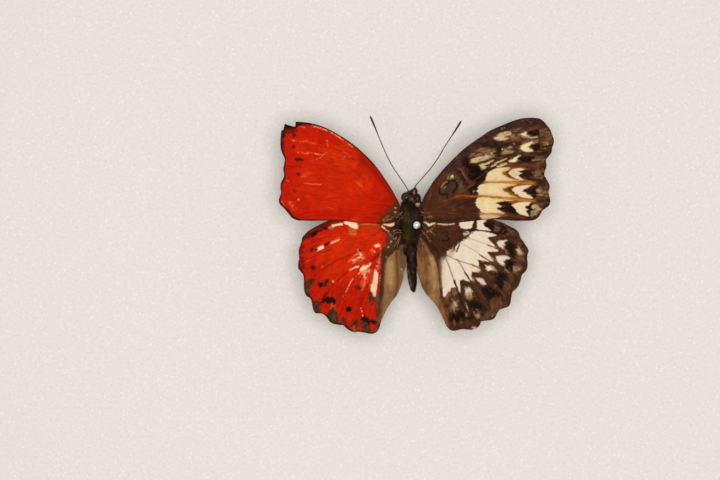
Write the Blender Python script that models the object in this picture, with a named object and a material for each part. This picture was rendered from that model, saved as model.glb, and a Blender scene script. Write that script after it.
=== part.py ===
"""A set butterfly with a red half and a brown half, on a steel pin in a small block of white foam.

Metres, +Z up. The head points along +Y and the red half lies on -X. The origin is on the block's
resting face, on the body's midline.
"""

import math

import bmesh
import bpy
from mathutils import Matrix, Vector
from mathutils.geometry import delaunay_2d_cdt

MM = 0.001
SEAT_GAP = 0.05 * MM  # clearance of a piece that is cut to its neighbour

# Foam block
BLOCK_WIDTH = 36.0 * MM
BLOCK_FRONT_Y = 4.2 * MM
BLOCK_REAR_Y = -9.1 * MM
BLOCK_HEIGHT = 12.0 * MM
BLOCK_EDGE = 0.5 * MM

# Pin: it leans a little towards the brown half, as it does in the specimen
PIN_RADIUS = 0.25 * MM
PIN_LENGTH = 38.0 * MM
PIN_TIP_Z = 2.0 * MM
PIN_TIP_LENGTH = 2.0 * MM
PIN_AT_WINGS = Vector((0.55, 0.1, 27.5)) * MM
PIN_LEAN = math.radians(2.6)
PIN_HEAD_RADIUS = 0.8 * MM
PIN_SIDES = 12

# Wings
WING_THICKNESS = 0.2 * MM
WING_GRID = 1.75 * MM  # spacing of the triangles inside an outline
VEIN_RISE = 0.13 * MM
VEIN_CLEAR = 0.7 * MM  # a vein's ridge stops this far inside the outline
FOREWING_Z = 27.9 * MM
HINDWING_Z = 27.25 * MM
WING_LIFT = math.tan(math.radians(2.6))  # the wings rise a little towards their tips
WING_ROOT_X = 1.2 * MM  # how far in the wing roots reach before the thorax cuts them
FOLD_DROP = 1.8 * MM  # the hindwing's inner fold hangs beside the abdomen

# Body, as rings along Y: (y, centre x, centre z, half width, half height), in millimetres
THORAX_RINGS = [
    (5.3, 0.0, 26.4, 0.8, 0.8),
    (4.9, 0.0, 26.5, 1.4, 1.45),
    (4.2, 0.0, 26.6, 2.05, 2.1),
    (3.0, 0.0, 26.6, 2.45, 2.5),
    (1.2, 0.0, 26.6, 2.7, 2.7),
    (-0.8, 0.0, 26.6, 2.7, 2.7),
    (-2.6, 0.0, 26.5, 2.4, 2.4),
    (-3.9, 0.0, 26.4, 1.85, 1.85),
    (-4.8, 0.05, 26.3, 1.2, 1.2),
    (-5.1, 0.05, 26.3, 0.75, 0.75),
]
HEAD_RINGS = [
    (8.2, 0.05, 26.5, 0.45, 0.5),
    (7.9, 0.05, 26.55, 0.95, 0.95),
    (7.3, 0.05, 26.6, 1.4, 1.35),
    (6.5, 0.05, 26.6, 1.6, 1.5),
    (5.7, 0.0, 26.55, 1.35, 1.3),
    (5.0, 0.0, 26.5, 0.85, 0.85),
]
EYE_CENTRE = (1.38, 6.7, 26.85)
EYE_RADII = (0.92, 1.12, 1.15)
BODY_SIDES = 20

# Abdomen: a spindle of overlapping segments, in millimetres
ABDOMEN_SEGMENTS = 8
ABDOMEN_LENGTH = 10.9
ABDOMEN_FRONT_Y = -4.6
ABDOMEN_Z = 26.4
ABDOMEN_RADIUS = 1.12
ABDOMEN_SWAY = 0.5  # the tip lies this far towards the brown half
SEGMENT_STEP = 0.93  # a segment's rear edge tucks in to this share of its width

# Antennae, palps and tongue: points along each, in millimetres
ANTENNA_LEFT = [
    (-0.6, 7.6, 27.3), (-1.4, 9.2, 28.1), (-2.6, 11.0, 28.6), (-4.7, 14.5, 29.1), (-6.2, 17.6, 29.5),
    (-7.4, 20.4, 29.8), (-8.4, 22.9, 29.9), (-9.5, 25.5, 29.9),
]
ANTENNA_RIGHT = [
    (0.3, 7.6, 27.3), (0.95, 9.2, 28.1), (2.2, 10.7, 28.6), (4.4, 13.2, 29.1), (6.2, 15.7, 29.5),
    (7.6, 18.1, 29.8), (9.0, 20.3, 29.9), (10.4, 22.4, 29.9), (11.6, 24.4, 29.8),
]
ANTENNA_RADIUS = 0.11
CLUB_RADIUS = 0.27
CLUB_SHARE = 0.26  # the club is this last share of the antenna
PALP_LEFT = [(0.0, 7.5, 25.5), (0.1, 8.2, 25.8), (0.35, 8.75, 26.5), (0.6, 9.05, 27.2)]
PALP_RIGHT = [(1.0, 7.4, 25.5), (1.15, 8.1, 25.8), (1.2, 8.8, 26.5), (0.95, 9.3, 27.2)]
PALP_RADII = [0.3, 0.45, 0.36, 0.1]
TONGUE_CENTRE = (0.05, 7.45, 24.3)
TONGUE_OUTER = 0.78
TONGUE_INNER = 0.2
TONGUE_TURNS = 2.1
TONGUE_RADIUS = 0.11

# Legs of the right side, folded under the thorax: base, knee, heel, and tip, in millimetres
LEGS = {
    "foreleg": [(0.85, 3.5, 24.5), (1.15, 4.4, 23.6), (0.95, 5.6, 23.8), (0.55, 6.6, 24.1)],
    "midleg": [(1.35, 0.9, 24.4), (3.0, 2.7, 23.0), (2.2, -0.6, 22.1), (1.3, -3.0, 21.7)],
    "hindleg": [(1.25, -1.9, 24.4), (3.3, -0.9, 23.4), (2.6, -4.6, 22.7), (1.5, -7.4, 22.3)],
}
LEG_RADII = [0.27, 0.2, 0.15, 0.08]
FORELEG_RADII = [0.16, 0.17, 0.15, 0.09]
LEG_BEND_STEPS = 4

# Wing outlines in millimetres, seen from above and listed from the body round by the leading edge
FOREWING_RED = [
    (-2.1, 4.2), (-3.3, 6.4), (-4.4, 8.4), (-5.8, 10.6), (-7.2, 12.6), (-9.1, 14.8), (-11.0, 16.7),
    (-13.1, 18.5), (-15.2, 19.9), (-17.3, 21.1), (-19.4, 22.3), (-21.5, 23.2), (-23.4, 23.8),
    (-25.2, 24.2), (-26.9, 24.3),
    # the nick in the wing tip
    (-27.0, 23.1), (-28.3, 23.4), (-29.4, 23.8), (-29.8, 22.3), (-30.2, 22.1),
    # outer margin
    (-30.4, 20.1), (-30.4, 18.5), (-30.1, 17.1), (-29.3, 15.9), (-29.2, 15.2), (-29.4, 14.2),
    (-29.6, 13.1), (-29.4, 11.9), (-29.8, 11.0), (-30.3, 10.0), (-30.4, 8.9), (-30.3, 7.7),
    (-30.6, 6.8), (-30.8, 6.0), (-30.6, 5.1), (-29.9, 4.4), (-29.0, 3.7), (-28.3, 2.8),
    (-27.6, 2.0), (-26.6, 1.5),
    # trailing edge
    (-25.2, 1.4), (-22.2, 1.4), (-18.9, 1.4), (-15.9, 1.2), (-13.1, 0.8), (-10.0, 0.7), (-7.0, 0.8),
    (-4.7, 1.4), (-2.8, 2.3),
]
FOREWING_BROWN = [
    (2.1, 4.7), (3.0, 6.8), (4.0, 8.5), (5.1, 10.4), (6.3, 12.0), (7.7, 13.7), (9.1, 15.2), (10.7, 16.7),
    (12.6, 18.2), (14.5, 19.6), (16.4, 20.9), (18.2, 22.1), (20.1, 23.0), (22.0, 23.8), (23.8, 24.5),
    (25.5, 25.0), (27.1, 25.2), (28.5, 25.2), (29.9, 25.0),
    # outer margin
    (30.8, 24.4), (31.8, 23.5), (32.6, 22.4), (33.2, 21.0), (33.4, 20.0), (33.2, 18.9), (32.8, 18.2),
    (32.7, 17.2), (32.0, 16.2), (31.4, 15.4), (31.5, 14.0), (31.2, 12.8), (31.1, 11.9), (31.7, 10.9),
    (32.3, 9.8), (32.4, 8.9), (32.2, 7.8), (32.4, 6.5), (32.5, 5.6), (32.1, 4.6), (30.8, 3.6),
    (30.3, 2.8), (29.4, 1.8), (28.3, 1.3),
    # trailing edge
    (26.6, 1.2), (24.3, 1.2), (21.5, 1.4), (18.2, 1.6), (15.7, 1.3), (12.8, 1.0), (9.6, 0.7), (6.8, 0.7),
    (4.4, 1.3), (2.8, 2.3),
]
HINDWING_RED = [
    (-2.4, 1.5), (-4.7, 2.3), (-7.2, 2.9), (-10.5, 3.2), (-13.8, 2.9), (-16.6, 2.2), (-19.2, 1.3),
    (-20.8, 0.7), (-22.4, -0.1), (-23.8, -0.9), (-24.9, -1.9), (-25.4, -2.8),
    # outer margin
    (-25.5, -3.6), (-25.9, -4.7), (-26.2, -5.8), (-26.1, -7.5), (-26.3, -8.6), (-26.3, -9.8),
    (-25.8, -10.6), (-25.2, -11.3), (-25.0, -12.4), (-25.0, -13.8), (-24.9, -15.2), (-24.4, -16.3),
    (-23.6, -16.8), (-23.2, -17.6), (-23.0, -18.8), (-22.6, -20.0), (-22.0, -20.4), (-21.1, -20.4),
    (-20.3, -20.7), (-19.6, -21.4), (-19.0, -22.3), (-18.0, -22.9), (-16.8, -23.1), (-15.8, -23.2),
    (-15.2, -23.8), (-14.2, -24.5), (-13.3, -24.8), (-12.4, -24.7), (-11.0, -24.9), (-9.3, -25.2),
    (-8.2, -24.9),
    # inner margin
    (-7.4, -23.9), (-7.1, -22.7), (-6.5, -21.3), (-5.6, -19.5), (-4.4, -17.8), (-3.4, -16.2),
    (-2.6, -14.2), (-2.0, -12.4), (-1.8, -11.0), (-1.1, -9.3), (-0.85, -7.9), (-1.05, -6.5), (-1.3, -5.3),
]
HINDWING_BROWN = [
    (2.4, 1.5), (4.4, 2.2), (7.2, 2.9), (10.5, 3.3), (13.8, 3.3), (17.1, 2.6), (19.9, 1.3), (21.5, 0.7),
    (22.9, 0.0), (24.3, -0.7), (25.1, -1.5),
    # outer margin
    (25.5, -2.6), (26.2, -3.6), (26.9, -4.7), (27.4, -5.7), (27.2, -6.7), (27.1, -7.6), (27.2, -8.6),
    (27.1, -9.9), (26.6, -10.7), (25.9, -11.4), (25.6, -12.6), (25.1, -13.9), (24.4, -14.8),
    (23.7, -15.4), (23.4, -16.7), (23.2, -18.0), (22.7, -18.8), (21.7, -19.2), (20.7, -19.6),
    (20.1, -20.4), (19.6, -21.4), (18.8, -21.9), (17.5, -22.1), (16.4, -22.3), (16.1, -23.1),
    (15.4, -23.8), (14.4, -24.2), (13.2, -24.2), (12.1, -24.1), (11.1, -24.3), (10.0, -24.5),
    (9.1, -24.2), (8.3, -23.4),
    # inner margin
    (7.8, -22.3), (7.0, -20.8), (6.1, -19.0), (4.9, -17.2), (3.7, -15.7), (2.8, -14.0), (2.0, -12.1),
    (1.45, -10.3), (1.35, -8.4), (1.3, -6.8), (1.35, -5.3),
]

# Veins of the brown half in millimetres, from the body outwards. The red half's are the same veins
# mirrored and drawn in by these shares, about the point where each wing leaves the body.
FOREWING_VEINS = [
    [(3.0, 4.4), (5.4, 8.4), (8.4, 12.4), (11.7, 15.8), (15.4, 18.5), (18.5, 20.7), (20.6, 22.7)],
    [(12.8, 15.4), (17.1, 17.3), (21.3, 19.9), (25.5, 22.2), (29.7, 23.5)],
    [(3.0, 4.0), (4.4, 6.8), (6.8, 10.0), (9.6, 12.8), (12.8, 15.4), (16.6, 16.6), (20.8, 19.0),
     (25.5, 20.2), (29.7, 20.6), (33.3, 20.4)],
    [(12.6, 11.9), (15.7, 14.7), (19.9, 16.1), (23.6, 17.2), (28.3, 17.2), (32.6, 17.5)],
    [(14.5, 10.0), (16.8, 12.4), (20.1, 13.5), (24.3, 14.1), (27.8, 14.1), (31.5, 14.0)],
    [(3.0, 3.5), (5.8, 4.7), (8.6, 6.0), (11.4, 7.4), (14.5, 10.0), (20.8, 10.4), (24.3, 10.3),
     (28.3, 9.8), (32.3, 9.3)],
    [(11.4, 7.4), (15.7, 7.0), (19.6, 6.7), (23.6, 6.3), (28.3, 6.0), (32.4, 5.4)],
    [(3.0, 2.9), (9.1, 2.8), (15.7, 2.8), (21.3, 2.8), (25.0, 2.3)],
]
HINDWING_VEINS = [
    [(3.0, -0.5), (6.8, -1.2), (11.0, -0.7), (15.2, -0.7), (18.5, -1.3), (22.0, -2.8), (26.5, -4.2)],
    [(6.8, -1.2), (9.8, -2.1), (13.3, -3.0), (17.3, -4.0), (20.6, -5.4), (23.8, -6.9), (27.1, -7.7)],
    [(6.8, -3.0), (9.6, -3.5), (12.4, -4.4), (15.7, -5.8), (18.9, -7.6), (22.0, -9.3), (25.9, -11.4)],
    [(3.0, -0.9), (5.4, -4.4), (8.9, -7.1), (11.9, -8.3), (15.0, -9.3), (17.1, -10.6), (19.4, -13.3),
     (21.5, -16.4), (23.2, -17.8)],
    [(8.9, -7.1), (11.4, -9.3), (13.3, -11.6), (15.2, -14.2), (16.8, -16.8), (18.5, -18.9)],
    [(5.4, -4.4), (7.9, -7.2), (9.1, -10.0), (10.3, -12.8), (11.2, -15.2), (12.4, -17.5), (13.8, -20.1)],
    [(3.0, -1.4), (5.4, -5.6), (6.7, -8.9), (7.0, -12.6), (7.5, -16.6), (8.2, -20.3)],
    [(2.6, -2.1), (4.0, -7.0), (4.7, -10.3), (5.4, -13.8), (6.3, -17.3)],
]
FOREWING_ROOT = (2.8, 3.7)
RED_FOREWING_SCALE = (0.92, 0.956)
HINDWING_ROOT = (2.6, -0.5)
RED_HINDWING_SCALE = (0.975, 1.03)


def clear_scene():
    for obj in list(bpy.data.objects):
        bpy.data.objects.remove(obj)


def material(name, colour, roughness, metallic=0.0):
    made = bpy.data.materials.new(name)
    made.use_nodes = True
    shader = made.node_tree.nodes["Principled BSDF"]
    shader.inputs["Base Color"].default_value = (*colour, 1.0)
    shader.inputs["Roughness"].default_value = roughness
    shader.inputs["Metallic"].default_value = metallic
    made.diffuse_color = (*colour, 1.0)
    return made


def mesh_object(name, points, faces, finish=None, smooth_degrees=40.0):
    mesh = bpy.data.meshes.new(name)
    mesh.from_pydata(points, [], faces)
    mesh.shade_smooth()
    mesh.set_sharp_from_angle(angle=math.radians(smooth_degrees))
    obj = bpy.data.objects.new(name, mesh)
    bpy.context.scene.collection.objects.link(obj)
    if finish:
        mesh.materials.append(finish)
    return obj


def as_cutter(obj):
    obj.hide_render = True
    obj.display_type = "WIRE"
    return obj


def cut(target, *cutters):
    for cutter in cutters:
        boolean = target.modifiers.new("cut by " + cutter.name, "BOOLEAN")
        boolean.operation = "DIFFERENCE"
        boolean.solver = "EXACT"
        boolean.object = cutter


def ringed(name, rings, finish=None, grow=0.0):
    """A body lofted through elliptical rings along Y, given front to rear in millimetres."""
    points = []
    for y, x, z, half_width, half_height in rings:
        for k in range(BODY_SIDES):
            turn = 2 * math.pi * k / BODY_SIDES
            across = (half_width * MM + grow) * math.cos(turn)
            up = (half_height * MM + grow) * math.sin(turn)
            points.append((x * MM + across, y * MM, z * MM + up))
    for k in range(BODY_SIDES):
        points[k] = (points[k][0], points[k][1] + grow, points[k][2])
        points[k - BODY_SIDES] = (points[k - BODY_SIDES][0], points[k - BODY_SIDES][1] - grow, points[k - BODY_SIDES][2])
    faces = []
    for ring in range(len(rings) - 1):
        for k in range(BODY_SIDES):
            a = ring * BODY_SIDES + k
            b = ring * BODY_SIDES + (k + 1) % BODY_SIDES
            faces.append((a, b, b + BODY_SIDES, a + BODY_SIDES))
    last = (len(rings) - 1) * BODY_SIDES
    faces.append(tuple(reversed(range(BODY_SIDES))))
    faces.append(tuple(range(last, last + BODY_SIDES)))
    obj = mesh_object(name, points, faces, finish)
    return obj


def ellipsoid(name, centre, radii, finish=None, grow=0.0, segments=18, rings=12):
    bm = bmesh.new()
    bmesh.ops.create_uvsphere(bm, u_segments=segments, v_segments=rings, radius=1.0)
    size = [radius * MM + grow for radius in radii]
    bm.transform(Matrix.Translation(Vector(centre) * MM) @ Matrix.Diagonal((*size, 1.0)))
    mesh = bpy.data.meshes.new(name)
    bm.to_mesh(mesh)
    bm.free()
    mesh.shade_smooth()
    obj = bpy.data.objects.new(name, mesh)
    bpy.context.scene.collection.objects.link(obj)
    if finish:
        mesh.materials.append(finish)
    return obj


def through_points(points, steps):
    """A smooth curve through the points, with this many steps in each span."""
    points = [Vector(p) for p in points]
    padded = [2 * points[0] - points[1], *points, 2 * points[-1] - points[-2]]
    curve = []
    for before, start, end, after in zip(padded, padded[1:], padded[2:], padded[3:]):
        for k in range(steps):
            t = k / steps
            curve.append(
                0.5 * (2 * start + (end - before) * t + (2 * before - 5 * start + 4 * end - after) * t**2
                       + (3 * start - before - 3 * end + after) * t**3)
            )
    curve.append(points[-1])
    return curve


def tube(name, points, radii, finish, resolution=2):
    """A round tube along points in millimetres, with a radius at each of them."""
    curve = bpy.data.curves.new(name, "CURVE")
    curve.dimensions = "3D"
    curve.bevel_depth = MM
    curve.bevel_resolution = resolution
    curve.use_fill_caps = True
    spline = curve.splines.new("POLY")
    spline.points.add(len(points) - 1)
    for point, place, radius in zip(spline.points, points, radii):
        point.co = (*(Vector(place) * MM), 1.0)
        point.radius = radius
    guide = bpy.data.objects.new(name + " line", curve)
    mesh = bpy.data.meshes.new_from_object(guide)
    bpy.data.objects.remove(guide)
    welded = bmesh.new()
    welded.from_mesh(mesh)
    bmesh.ops.remove_doubles(welded, verts=welded.verts, dist=1e-7)
    bmesh.ops.recalc_face_normals(welded, faces=welded.faces)
    welded.to_mesh(mesh)
    welded.free()
    mesh.shade_smooth()
    mesh.set_sharp_from_angle(angle=math.radians(50))
    mesh.name = name
    mesh.materials.clear()
    mesh.materials.append(finish)
    obj = bpy.data.objects.new(name, mesh)
    bpy.context.scene.collection.objects.link(obj)
    return obj


def tapered(radii, count):
    """Radii for count points, read evenly off a short list."""
    made = []
    for k in range(count):
        place = k / (count - 1) * (len(radii) - 1)
        low = min(int(place), len(radii) - 2)
        made.append(radii[low] + (radii[low + 1] - radii[low]) * (place - low))
    return made


def smoothstep(low, high, value):
    t = min(1.0, max(0.0, (value - low) / (high - low)))
    return t * t * (3 - 2 * t)


def forewing_height(x, y):
    camber = 0.35 * MM * math.sin(math.pi * min(1.0, max(0.0, y / (24 * MM))))
    return FOREWING_Z + WING_LIFT * (abs(x) - 2.5 * MM) + camber


def hindwing_height(x, y):
    """Flat over most of the wing. The inner fold drops beside the abdomen."""
    drop = FOLD_DROP * smoothstep(-4.2 * MM, -1.2 * MM, -abs(x)) * smoothstep(4.0 * MM, 7.0 * MM, -y)
    return HINDWING_Z + WING_LIFT * (abs(x) - 2.6 * MM) - drop


def mirrored_veins(veins, root, scale):
    """The brown half's veins on the red half, scaled about the wing's root."""
    def place(x, y):
        return (-(root[0] + (x - root[0]) * scale[0]), root[1] + (y - root[1]) * scale[1])
    return [[place(x, y) for x, y in vein] for vein in veins]


def inside(point, outline):
    found = False
    for a, b in zip(outline, outline[1:] + outline[:1]):
        if (a.y > point.y) != (b.y > point.y):
            if point.x < a.x + (point.y - a.y) / (b.y - a.y) * (b.x - a.x):
                found = not found
    return found


def distance(point, line):
    """From a point to a line of points."""
    best = math.inf
    for a, b in zip(line, line[1:]):
        along = b - a
        share = min(1.0, max(0.0, (point - a).dot(along) / along.length_squared))
        best = min(best, (a + along * share - point).length)
    return best


def wing(name, outline, root_y, veins, height, finish, thorax_cutter):
    """A thin sheet with its outline, raised along its veins, and cut to the side of the thorax."""
    side = math.copysign(1.0, outline[0][0])
    root = [(side * WING_ROOT_X / MM, y) for y in root_y]
    rim = [Vector(p) * MM for p in [*outline, root[1], root[0]]]
    if side > 0:
        rim.reverse()
    closed_rim = rim + rim[:1]
    ridges = []
    for vein in veins:
        ridge = [Vector(p) * MM for p in vein]
        ridge = [p for p in ridge if inside(p, rim) and distance(p, closed_rim) > VEIN_CLEAR]
        ridges.append(ridge)
    points = list(rim)
    lines = []
    crests = set()
    for ridge in ridges:
        numbers = []
        for p in ridge:
            same = [k for k in crests if (points[k] - p).length < 1e-6]
            if not same:
                points.append(p)
            numbers.append(same[0] if same else len(points) - 1)
        crests.update(numbers)
        lines += zip(numbers, numbers[1:])
    left = min(p.x for p in rim)
    low = min(p.y for p in rim)
    columns = int((max(p.x for p in rim) - left) / WING_GRID) + 2
    rows = int((max(p.y for p in rim) - low) / (WING_GRID * math.sqrt(0.75))) + 2
    for row in range(rows):
        for column in range(columns):
            p = Vector((left + (column + 0.5 * (row % 2)) * WING_GRID, low + row * WING_GRID * math.sqrt(0.75)))
            if not inside(p, rim) or distance(p, closed_rim) < 0.45 * WING_GRID:
                continue
            if all(distance(p, ridge) > 0.45 * WING_GRID for ridge in ridges if len(ridge) > 1):
                points.append(p)
    flat, _, faces, origins, _, _ = delaunay_2d_cdt(points, lines, [list(range(len(rim)))], 1, 1e-6)
    placed = []
    for p, origin in zip(flat, origins):
        rise = VEIN_RISE if crests.intersection(origin) else 0.0
        placed.append((p.x, p.y, height(p.x, p.y) + rise))
    obj = mesh_object(name, placed, faces, finish, smooth_degrees=60.0)
    solidify = obj.modifiers.new("wing thickness", "SOLIDIFY")
    solidify.thickness = WING_THICKNESS
    solidify.offset = 0.0
    cut(obj, thorax_cutter)
    return obj


def pin_frame():
    """Places a thing along the pin: its origin is the tip, and +Z runs up to the head."""
    along = Vector((math.sin(PIN_LEAN), 0.0, math.cos(PIN_LEAN)))
    tip = PIN_AT_WINGS - along * ((PIN_AT_WINGS.z - PIN_TIP_Z) / along.z)
    return Matrix.Translation(tip) @ Matrix.Rotation(PIN_LEAN, 4, "Y")


def turned(name, profile, finish, frame, sides=PIN_SIDES):
    """A round piece from (radius, height) pairs, bottom to top, with a point or a flat at each end."""
    points = []
    for radius, z in profile:
        for k in range(sides):
            turn = 2 * math.pi * k / sides
            points.append((radius * math.cos(turn), radius * math.sin(turn), z))
    faces = []
    for ring in range(len(profile) - 1):
        for k in range(sides):
            a = ring * sides + k
            b = ring * sides + (k + 1) % sides
            faces.append((a, b, b + sides, a + sides))
    faces.append(tuple(reversed(range(sides))))
    faces.append(tuple(range((len(profile) - 1) * sides, len(profile) * sides)))
    obj = mesh_object(name, points, faces, finish)
    obj.matrix_world = frame
    return obj


def pin_channel(name, bottom, top):
    """The cutter for the pin's way through a piece, from one distance along the pin to another."""
    radius = PIN_RADIUS + SEAT_GAP
    return as_cutter(turned(name, [(radius, bottom), (radius, top)], None, pin_frame()))


def make_pin(steel, head_steel):
    point = [(0.15 * PIN_RADIUS, 0.0), (PIN_RADIUS, PIN_TIP_LENGTH)]
    shaft_top = PIN_LENGTH - PIN_HEAD_RADIUS
    turned("pin_shaft", [*point, (PIN_RADIUS, shaft_top)], steel, pin_frame())
    centre = pin_frame() @ Vector((0.0, 0.0, PIN_LENGTH - PIN_HEAD_RADIUS))
    head = ellipsoid("pin_head", centre / MM, [PIN_HEAD_RADIUS / MM] * 3, head_steel)
    cut(head, pin_channel("pin head socket", 0.0, shaft_top + SEAT_GAP))


def make_block(foam):
    half = BLOCK_WIDTH / 2
    bm = bmesh.new()
    bmesh.ops.create_cube(bm, size=1.0)
    size = Matrix.Diagonal((BLOCK_WIDTH, BLOCK_FRONT_Y - BLOCK_REAR_Y, BLOCK_HEIGHT, 1.0))
    centre = Vector((0.0, (BLOCK_FRONT_Y + BLOCK_REAR_Y) / 2, BLOCK_HEIGHT / 2))
    bm.transform(Matrix.Translation(centre) @ size)
    bmesh.ops.bevel(bm, geom=bm.edges, offset=BLOCK_EDGE, segments=2, profile=0.5, affect="EDGES")
    mesh = bpy.data.meshes.new("foam_block")
    bm.to_mesh(mesh)
    bm.free()
    mesh.materials.append(foam)
    block = bpy.data.objects.new("foam_block", mesh)
    bpy.context.scene.collection.objects.link(block)
    cut(block, pin_channel("pin hole in foam", -SEAT_GAP, half))


def make_body(fur, eye_gloss):
    """Thorax, head, eyes and abdomen. Each is cut to the one before it. Returns the cutters."""
    thorax = ringed("thorax", THORAX_RINGS, fur)
    cut(thorax, pin_channel("pin hole in thorax", 0.0, PIN_LENGTH))
    thorax_cutter = as_cutter(ringed("thorax clearance", THORAX_RINGS, grow=SEAT_GAP))

    head = ringed("head", HEAD_RINGS, fur)
    cut(head, thorax_cutter)
    for side, word in ((-1, "left"), (1, "right")):
        centre = (side * EYE_CENTRE[0], EYE_CENTRE[1], EYE_CENTRE[2])
        ellipsoid("eye_" + word, centre, EYE_RADII, eye_gloss)
        cut(head, as_cutter(ellipsoid("eye socket " + word, centre, EYE_RADII, grow=SEAT_GAP)))
    head_cutter = as_cutter(ringed("head clearance", HEAD_RINGS, grow=SEAT_GAP))

    rings = []
    for segment in range(ABDOMEN_SEGMENTS):
        for share, tuck in ((0.0, 1.0), (0.82, 1.0), (0.98, SEGMENT_STEP)):
            t = (segment + share) / ABDOMEN_SEGMENTS
            swell = math.sqrt(max(0.0, 1.0 - abs(2 * t - 0.86) ** 2.6 / 1.14**2.6))
            radius = ABDOMEN_RADIUS * max(0.16, swell) * tuck
            rings.append((ABDOMEN_FRONT_Y - ABDOMEN_LENGTH * t, 0.1 + ABDOMEN_SWAY * t**2, ABDOMEN_Z, radius, radius))
    abdomen = ringed("abdomen", rings, fur)
    cut(abdomen, thorax_cutter)
    return thorax_cutter, head_cutter


def make_head_parts(fur, horn, head_cutter):
    for word, line in (("left", ANTENNA_LEFT), ("right", ANTENNA_RIGHT)):
        points = through_points(line, 2)
        radii = []
        for k in range(len(points)):
            club = smoothstep(1 - CLUB_SHARE, 1 - 0.25 * CLUB_SHARE, k / (len(points) - 1))
            radii.append(ANTENNA_RADIUS + (CLUB_RADIUS - ANTENNA_RADIUS) * club)
        radii[-1] = 0.6 * CLUB_RADIUS
        cut(tube("antenna_" + word, points, radii, horn, resolution=1), head_cutter)
    for word, line in (("left", PALP_LEFT), ("right", PALP_RIGHT)):
        points = through_points(line, 3)
        cut(tube("palp_" + word, points, tapered(PALP_RADII, len(points)), fur), head_cutter)
    coil = []
    steps = 36
    for k in range(steps + 1):
        t = k / steps
        radius = TONGUE_OUTER + (TONGUE_INNER - TONGUE_OUTER) * t
        turn = math.radians(100) + 2 * math.pi * TONGUE_TURNS * t
        y = TONGUE_CENTRE[1] + radius * math.cos(turn)
        coil.append((TONGUE_CENTRE[0], y, TONGUE_CENTRE[2] + radius * math.sin(turn)))
    cut(tube("tongue", coil, tapered([TONGUE_RADIUS, 0.6 * TONGUE_RADIUS], len(coil)), horn, resolution=1), head_cutter)


def make_legs(horn, thorax_cutter):
    for name, line in LEGS.items():
        radii = FORELEG_RADII if name == "foreleg" else LEG_RADII
        for side, word in ((-1, "left"), (1, "right")):
            points = through_points([(side * x, y, z) for x, y, z in line], LEG_BEND_STEPS)
            leg = tube(name + "_" + word, points, tapered(radii, len(points)), horn)
            cut(leg, thorax_cutter)


def make_wings(red, brown, thorax_cutter):
    fore_root_y = (4.0, 2.0)
    hind_root_y = (1.1, -3.9)
    red_fore_veins = mirrored_veins(FOREWING_VEINS, FOREWING_ROOT, RED_FOREWING_SCALE)
    red_hind_veins = mirrored_veins(HINDWING_VEINS, HINDWING_ROOT, RED_HINDWING_SCALE)
    wing("forewing_left", FOREWING_RED, fore_root_y, red_fore_veins, forewing_height, red, thorax_cutter)
    wing("forewing_right", FOREWING_BROWN, fore_root_y, FOREWING_VEINS, forewing_height, brown, thorax_cutter)
    wing("hindwing_left", HINDWING_RED, hind_root_y, red_hind_veins, hindwing_height, red, thorax_cutter)
    wing("hindwing_right", HINDWING_BROWN, hind_root_y, HINDWING_VEINS, hindwing_height, brown, thorax_cutter)


def main():
    clear_scene()
    foam = material("white foam", (0.80, 0.77, 0.73), 0.85)
    steel = material("pin steel", (0.55, 0.55, 0.56), 0.3, metallic=1.0)
    fur = material("dark brown fur", (0.035, 0.022, 0.012), 0.8)
    horn = material("dark horn", (0.03, 0.02, 0.015), 0.5)
    eye_gloss = material("eye", (0.03, 0.022, 0.018), 0.15)
    red = material("red wing scales", (0.58, 0.03, 0.006), 0.55)
    brown = material("brown wing scales", (0.075, 0.028, 0.014), 0.55)

    make_block(foam)
    make_pin(steel, steel)
    thorax_cutter, head_cutter = make_body(fur, eye_gloss)
    make_head_parts(fur, horn, head_cutter)
    make_legs(horn, thorax_cutter)
    make_wings(red, brown, thorax_cutter)


main()
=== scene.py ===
import math

import bmesh
import bpy
import numpy as np
from mathutils import Matrix, Vector
from mathutils.geometry import delaunay_2d_cdt


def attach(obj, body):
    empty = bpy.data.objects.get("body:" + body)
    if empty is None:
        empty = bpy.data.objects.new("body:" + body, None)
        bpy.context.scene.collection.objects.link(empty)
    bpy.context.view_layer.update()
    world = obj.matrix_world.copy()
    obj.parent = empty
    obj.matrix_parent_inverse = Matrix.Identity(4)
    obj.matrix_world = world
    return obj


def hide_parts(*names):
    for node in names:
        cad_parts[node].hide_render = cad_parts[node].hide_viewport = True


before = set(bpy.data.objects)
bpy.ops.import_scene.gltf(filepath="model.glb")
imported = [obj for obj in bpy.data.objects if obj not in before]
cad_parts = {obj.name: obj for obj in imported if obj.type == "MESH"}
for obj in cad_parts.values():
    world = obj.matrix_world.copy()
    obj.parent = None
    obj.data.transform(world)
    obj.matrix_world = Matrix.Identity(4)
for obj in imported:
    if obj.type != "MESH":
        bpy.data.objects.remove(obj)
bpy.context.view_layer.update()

mm = 0.001
twoPi = 2 * math.pi


def fromScreen(*screen):  # red, green and blue as a screen shows them (0 to 255), made linear
    return tuple(((c / 255 + 0.055) / 1.055) ** 2.4 if c > 10 else c / 255 / 12.92 for c in screen)


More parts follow.
